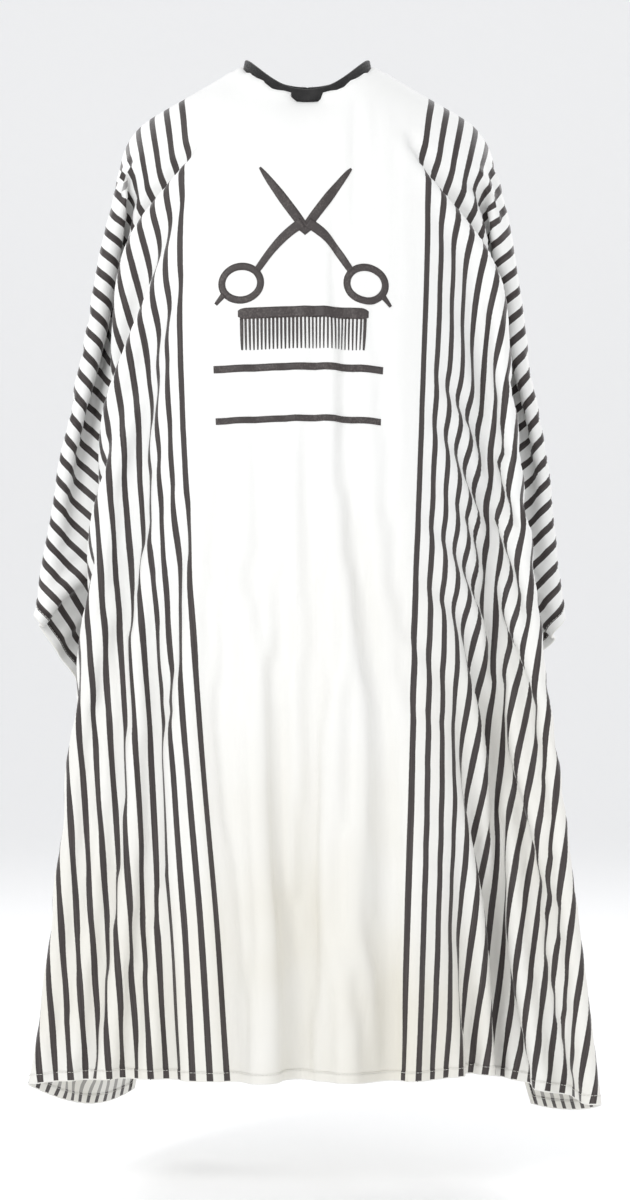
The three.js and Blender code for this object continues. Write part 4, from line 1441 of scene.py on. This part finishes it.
def buildClosure():
    tape = tapeMaterial("closure_tape", (0.012, 0.012, 0.013), (0.03, 0.03, 0.03), 0.78, 0.0005)
    thread = tapeMaterial("black_thread", (0.02, 0.02, 0.021), (0.05, 0.05, 0.05), 0.5, 0.0002)
    metal = snapMaterial()

    def ease(t):
        return t * t * (3 - 2 * t)

    sewn = band["face"] + closure["gap"]

    def place(piece, node, body, slot):
        if node:
            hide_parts(node)
        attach(piece, body)

    tabLength = closure["length"] - closure["endGap"]
    total = tabOuter - tabInner
    rootLength = closure["rootLength"] - closure["endGap"]

    def rootInner(t):
        return tabInner + (sewn - tabInner) * ease(t)

    root = leafPiece("tab_root_tape", closure["endGap"], rootLength, rootInner, total, tape)
    place(root, "tab_root", "root", "closure_tape")
    place(tabFold(tape), None, "root", "closure_tape")
    leaf = closure["leaf"]
    lining = leafPiece("tab_lining_tape", -closure["endGap"], tabLength, lambda t: tabInner, leaf, tape)
    place(lining, "tab_lining", "snap_tab", "closure_tape")
    cover = leafPiece("tab_outer_tape", -closure["endGap"], tabLength, lambda t: tabOuter - leaf, leaf, tape)
    place(cover, "tab_outer", "snap_tab", "closure_tape")
    stitches = tabStitches("tab_stitching", -closure["endGap"], tabLength, tabOuter, thread)
    place(stitches, None, "snap_tab", "closure_tape")
    low, high = studBase, studBase + closure["baseThick"]
    r, head, top = closure["radius"], closure["headRadius"], studTop
    for k in range(closure["studs"]):
        arc = closure["firstStud"] + k * closure["snapPitch"]
        profile = [(0, low), (r - 0.0003, low), (r, low + 0.00025)]
        profile += [(r, high - 0.00035), (r - 0.00025, high - 0.0001)]
        profile += [(r - 0.0009, high), (r - 0.0013, high - 0.0002)]
        profile += [(head + 0.0009, high - 0.0002), (head - 0.0003, high + 0.0001)]
        profile += [(head - 0.0004, high + 0.0003), (head - 0.00005, high + 0.0007), (head, high + 0.0009)]
        profile += [(head - 0.0003, top - 0.00012), (head - 0.0009, top), (0.0006, top)]
        profile += [(0.0004, top - 0.0002), (0, top - 0.0002)]
        stud = turnedPiece("stud_%d" % (k + 1), profile, arc, metal)
        place(stud, "snap_stud_%d" % (k + 1), "root", "snap")
        back = -band["face"] - closure["discGap"]
        thick = closure["baseThick"]
        profile = [(0, back), (r - 0.0012, back), (r - 0.0003, back - 0.0001)]
        profile += [(r, back - 0.0003), (r - 0.0002, back - thick * 0.85)]
        profile += [(r - 0.0008, back - thick), (r - 0.0016, back - thick * 0.8), (0, back - thick * 0.8)]
        under = turnedPiece("stud_back_%d" % (k + 1), profile, arc, metal)
        place(under, "stud_backing_%d" % (k + 1), "root", "snap")
    for k in range(closure["sockets"]):
        arc = closure["firstStud"] + k * closure["snapPitch"]
        near = studBase + closure["baseThick"] + closure["gap"]
        far = tabInner - closure["gap"]
        hole = head + closure["clearance"]
        profile = [(hole, near + 0.00015), (hole + 0.0003, near), (r - 0.0008, near)]
        profile += [(r - 0.0002, near + 0.0001), (r, near + 0.0003)]
        profile += [(r, far - 0.0002), (r - 0.0003, far), (hole + 0.0002, far)]
        profile += [(hole, far - 0.0002), (hole - 0.00012, (near + far) / 2)]
        socket = turnedPiece("socket_%d" % (k + 1), profile, arc, metal)
        place(socket, "snap_socket_%d" % (k + 1), "snap_tab", "snap")
        base = tabOuter + closure["gap"]
        profile = [(0, base), (r - 0.0003, base), (r, base + 0.0002)]
        profile += [(r - 0.0001, base + 0.0006), (r - 0.0006, base + 0.00095)]
        profile += [(r - 0.0011, base + 0.001), (r - 0.0015, base + 0.00085), (r - 0.0022, base + 0.0008)]
        profile += [(0.0012, base + 0.00098), (0, base + 0.001)]
        cap = turnedPiece("cap_%d" % (k + 1), profile, arc, metal)
        place(cap, "snap_cap_%d" % (k + 1), "snap_tab", "snap")
    print("stage: tab and snaps")


makeCamera()
makeStudio()
capeSheet, cloth = buildSheet()
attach(capeSheet, "root")
clothNodes = [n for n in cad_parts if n.startswith("cloth_")]
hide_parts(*clothNodes)
onSheet = buildHems() + [buildPrint()]
buildBand()
buildClosure()
flatArea = sheet["width"] * (sheet["frontLength"] + sheet["backLength"]) - math.pi * holeRadius**2
flatArea -= sum(hemRiseAt(u) for u in np.linspace(-0.7, 0.7, 141)) * sheet["width"] / 141
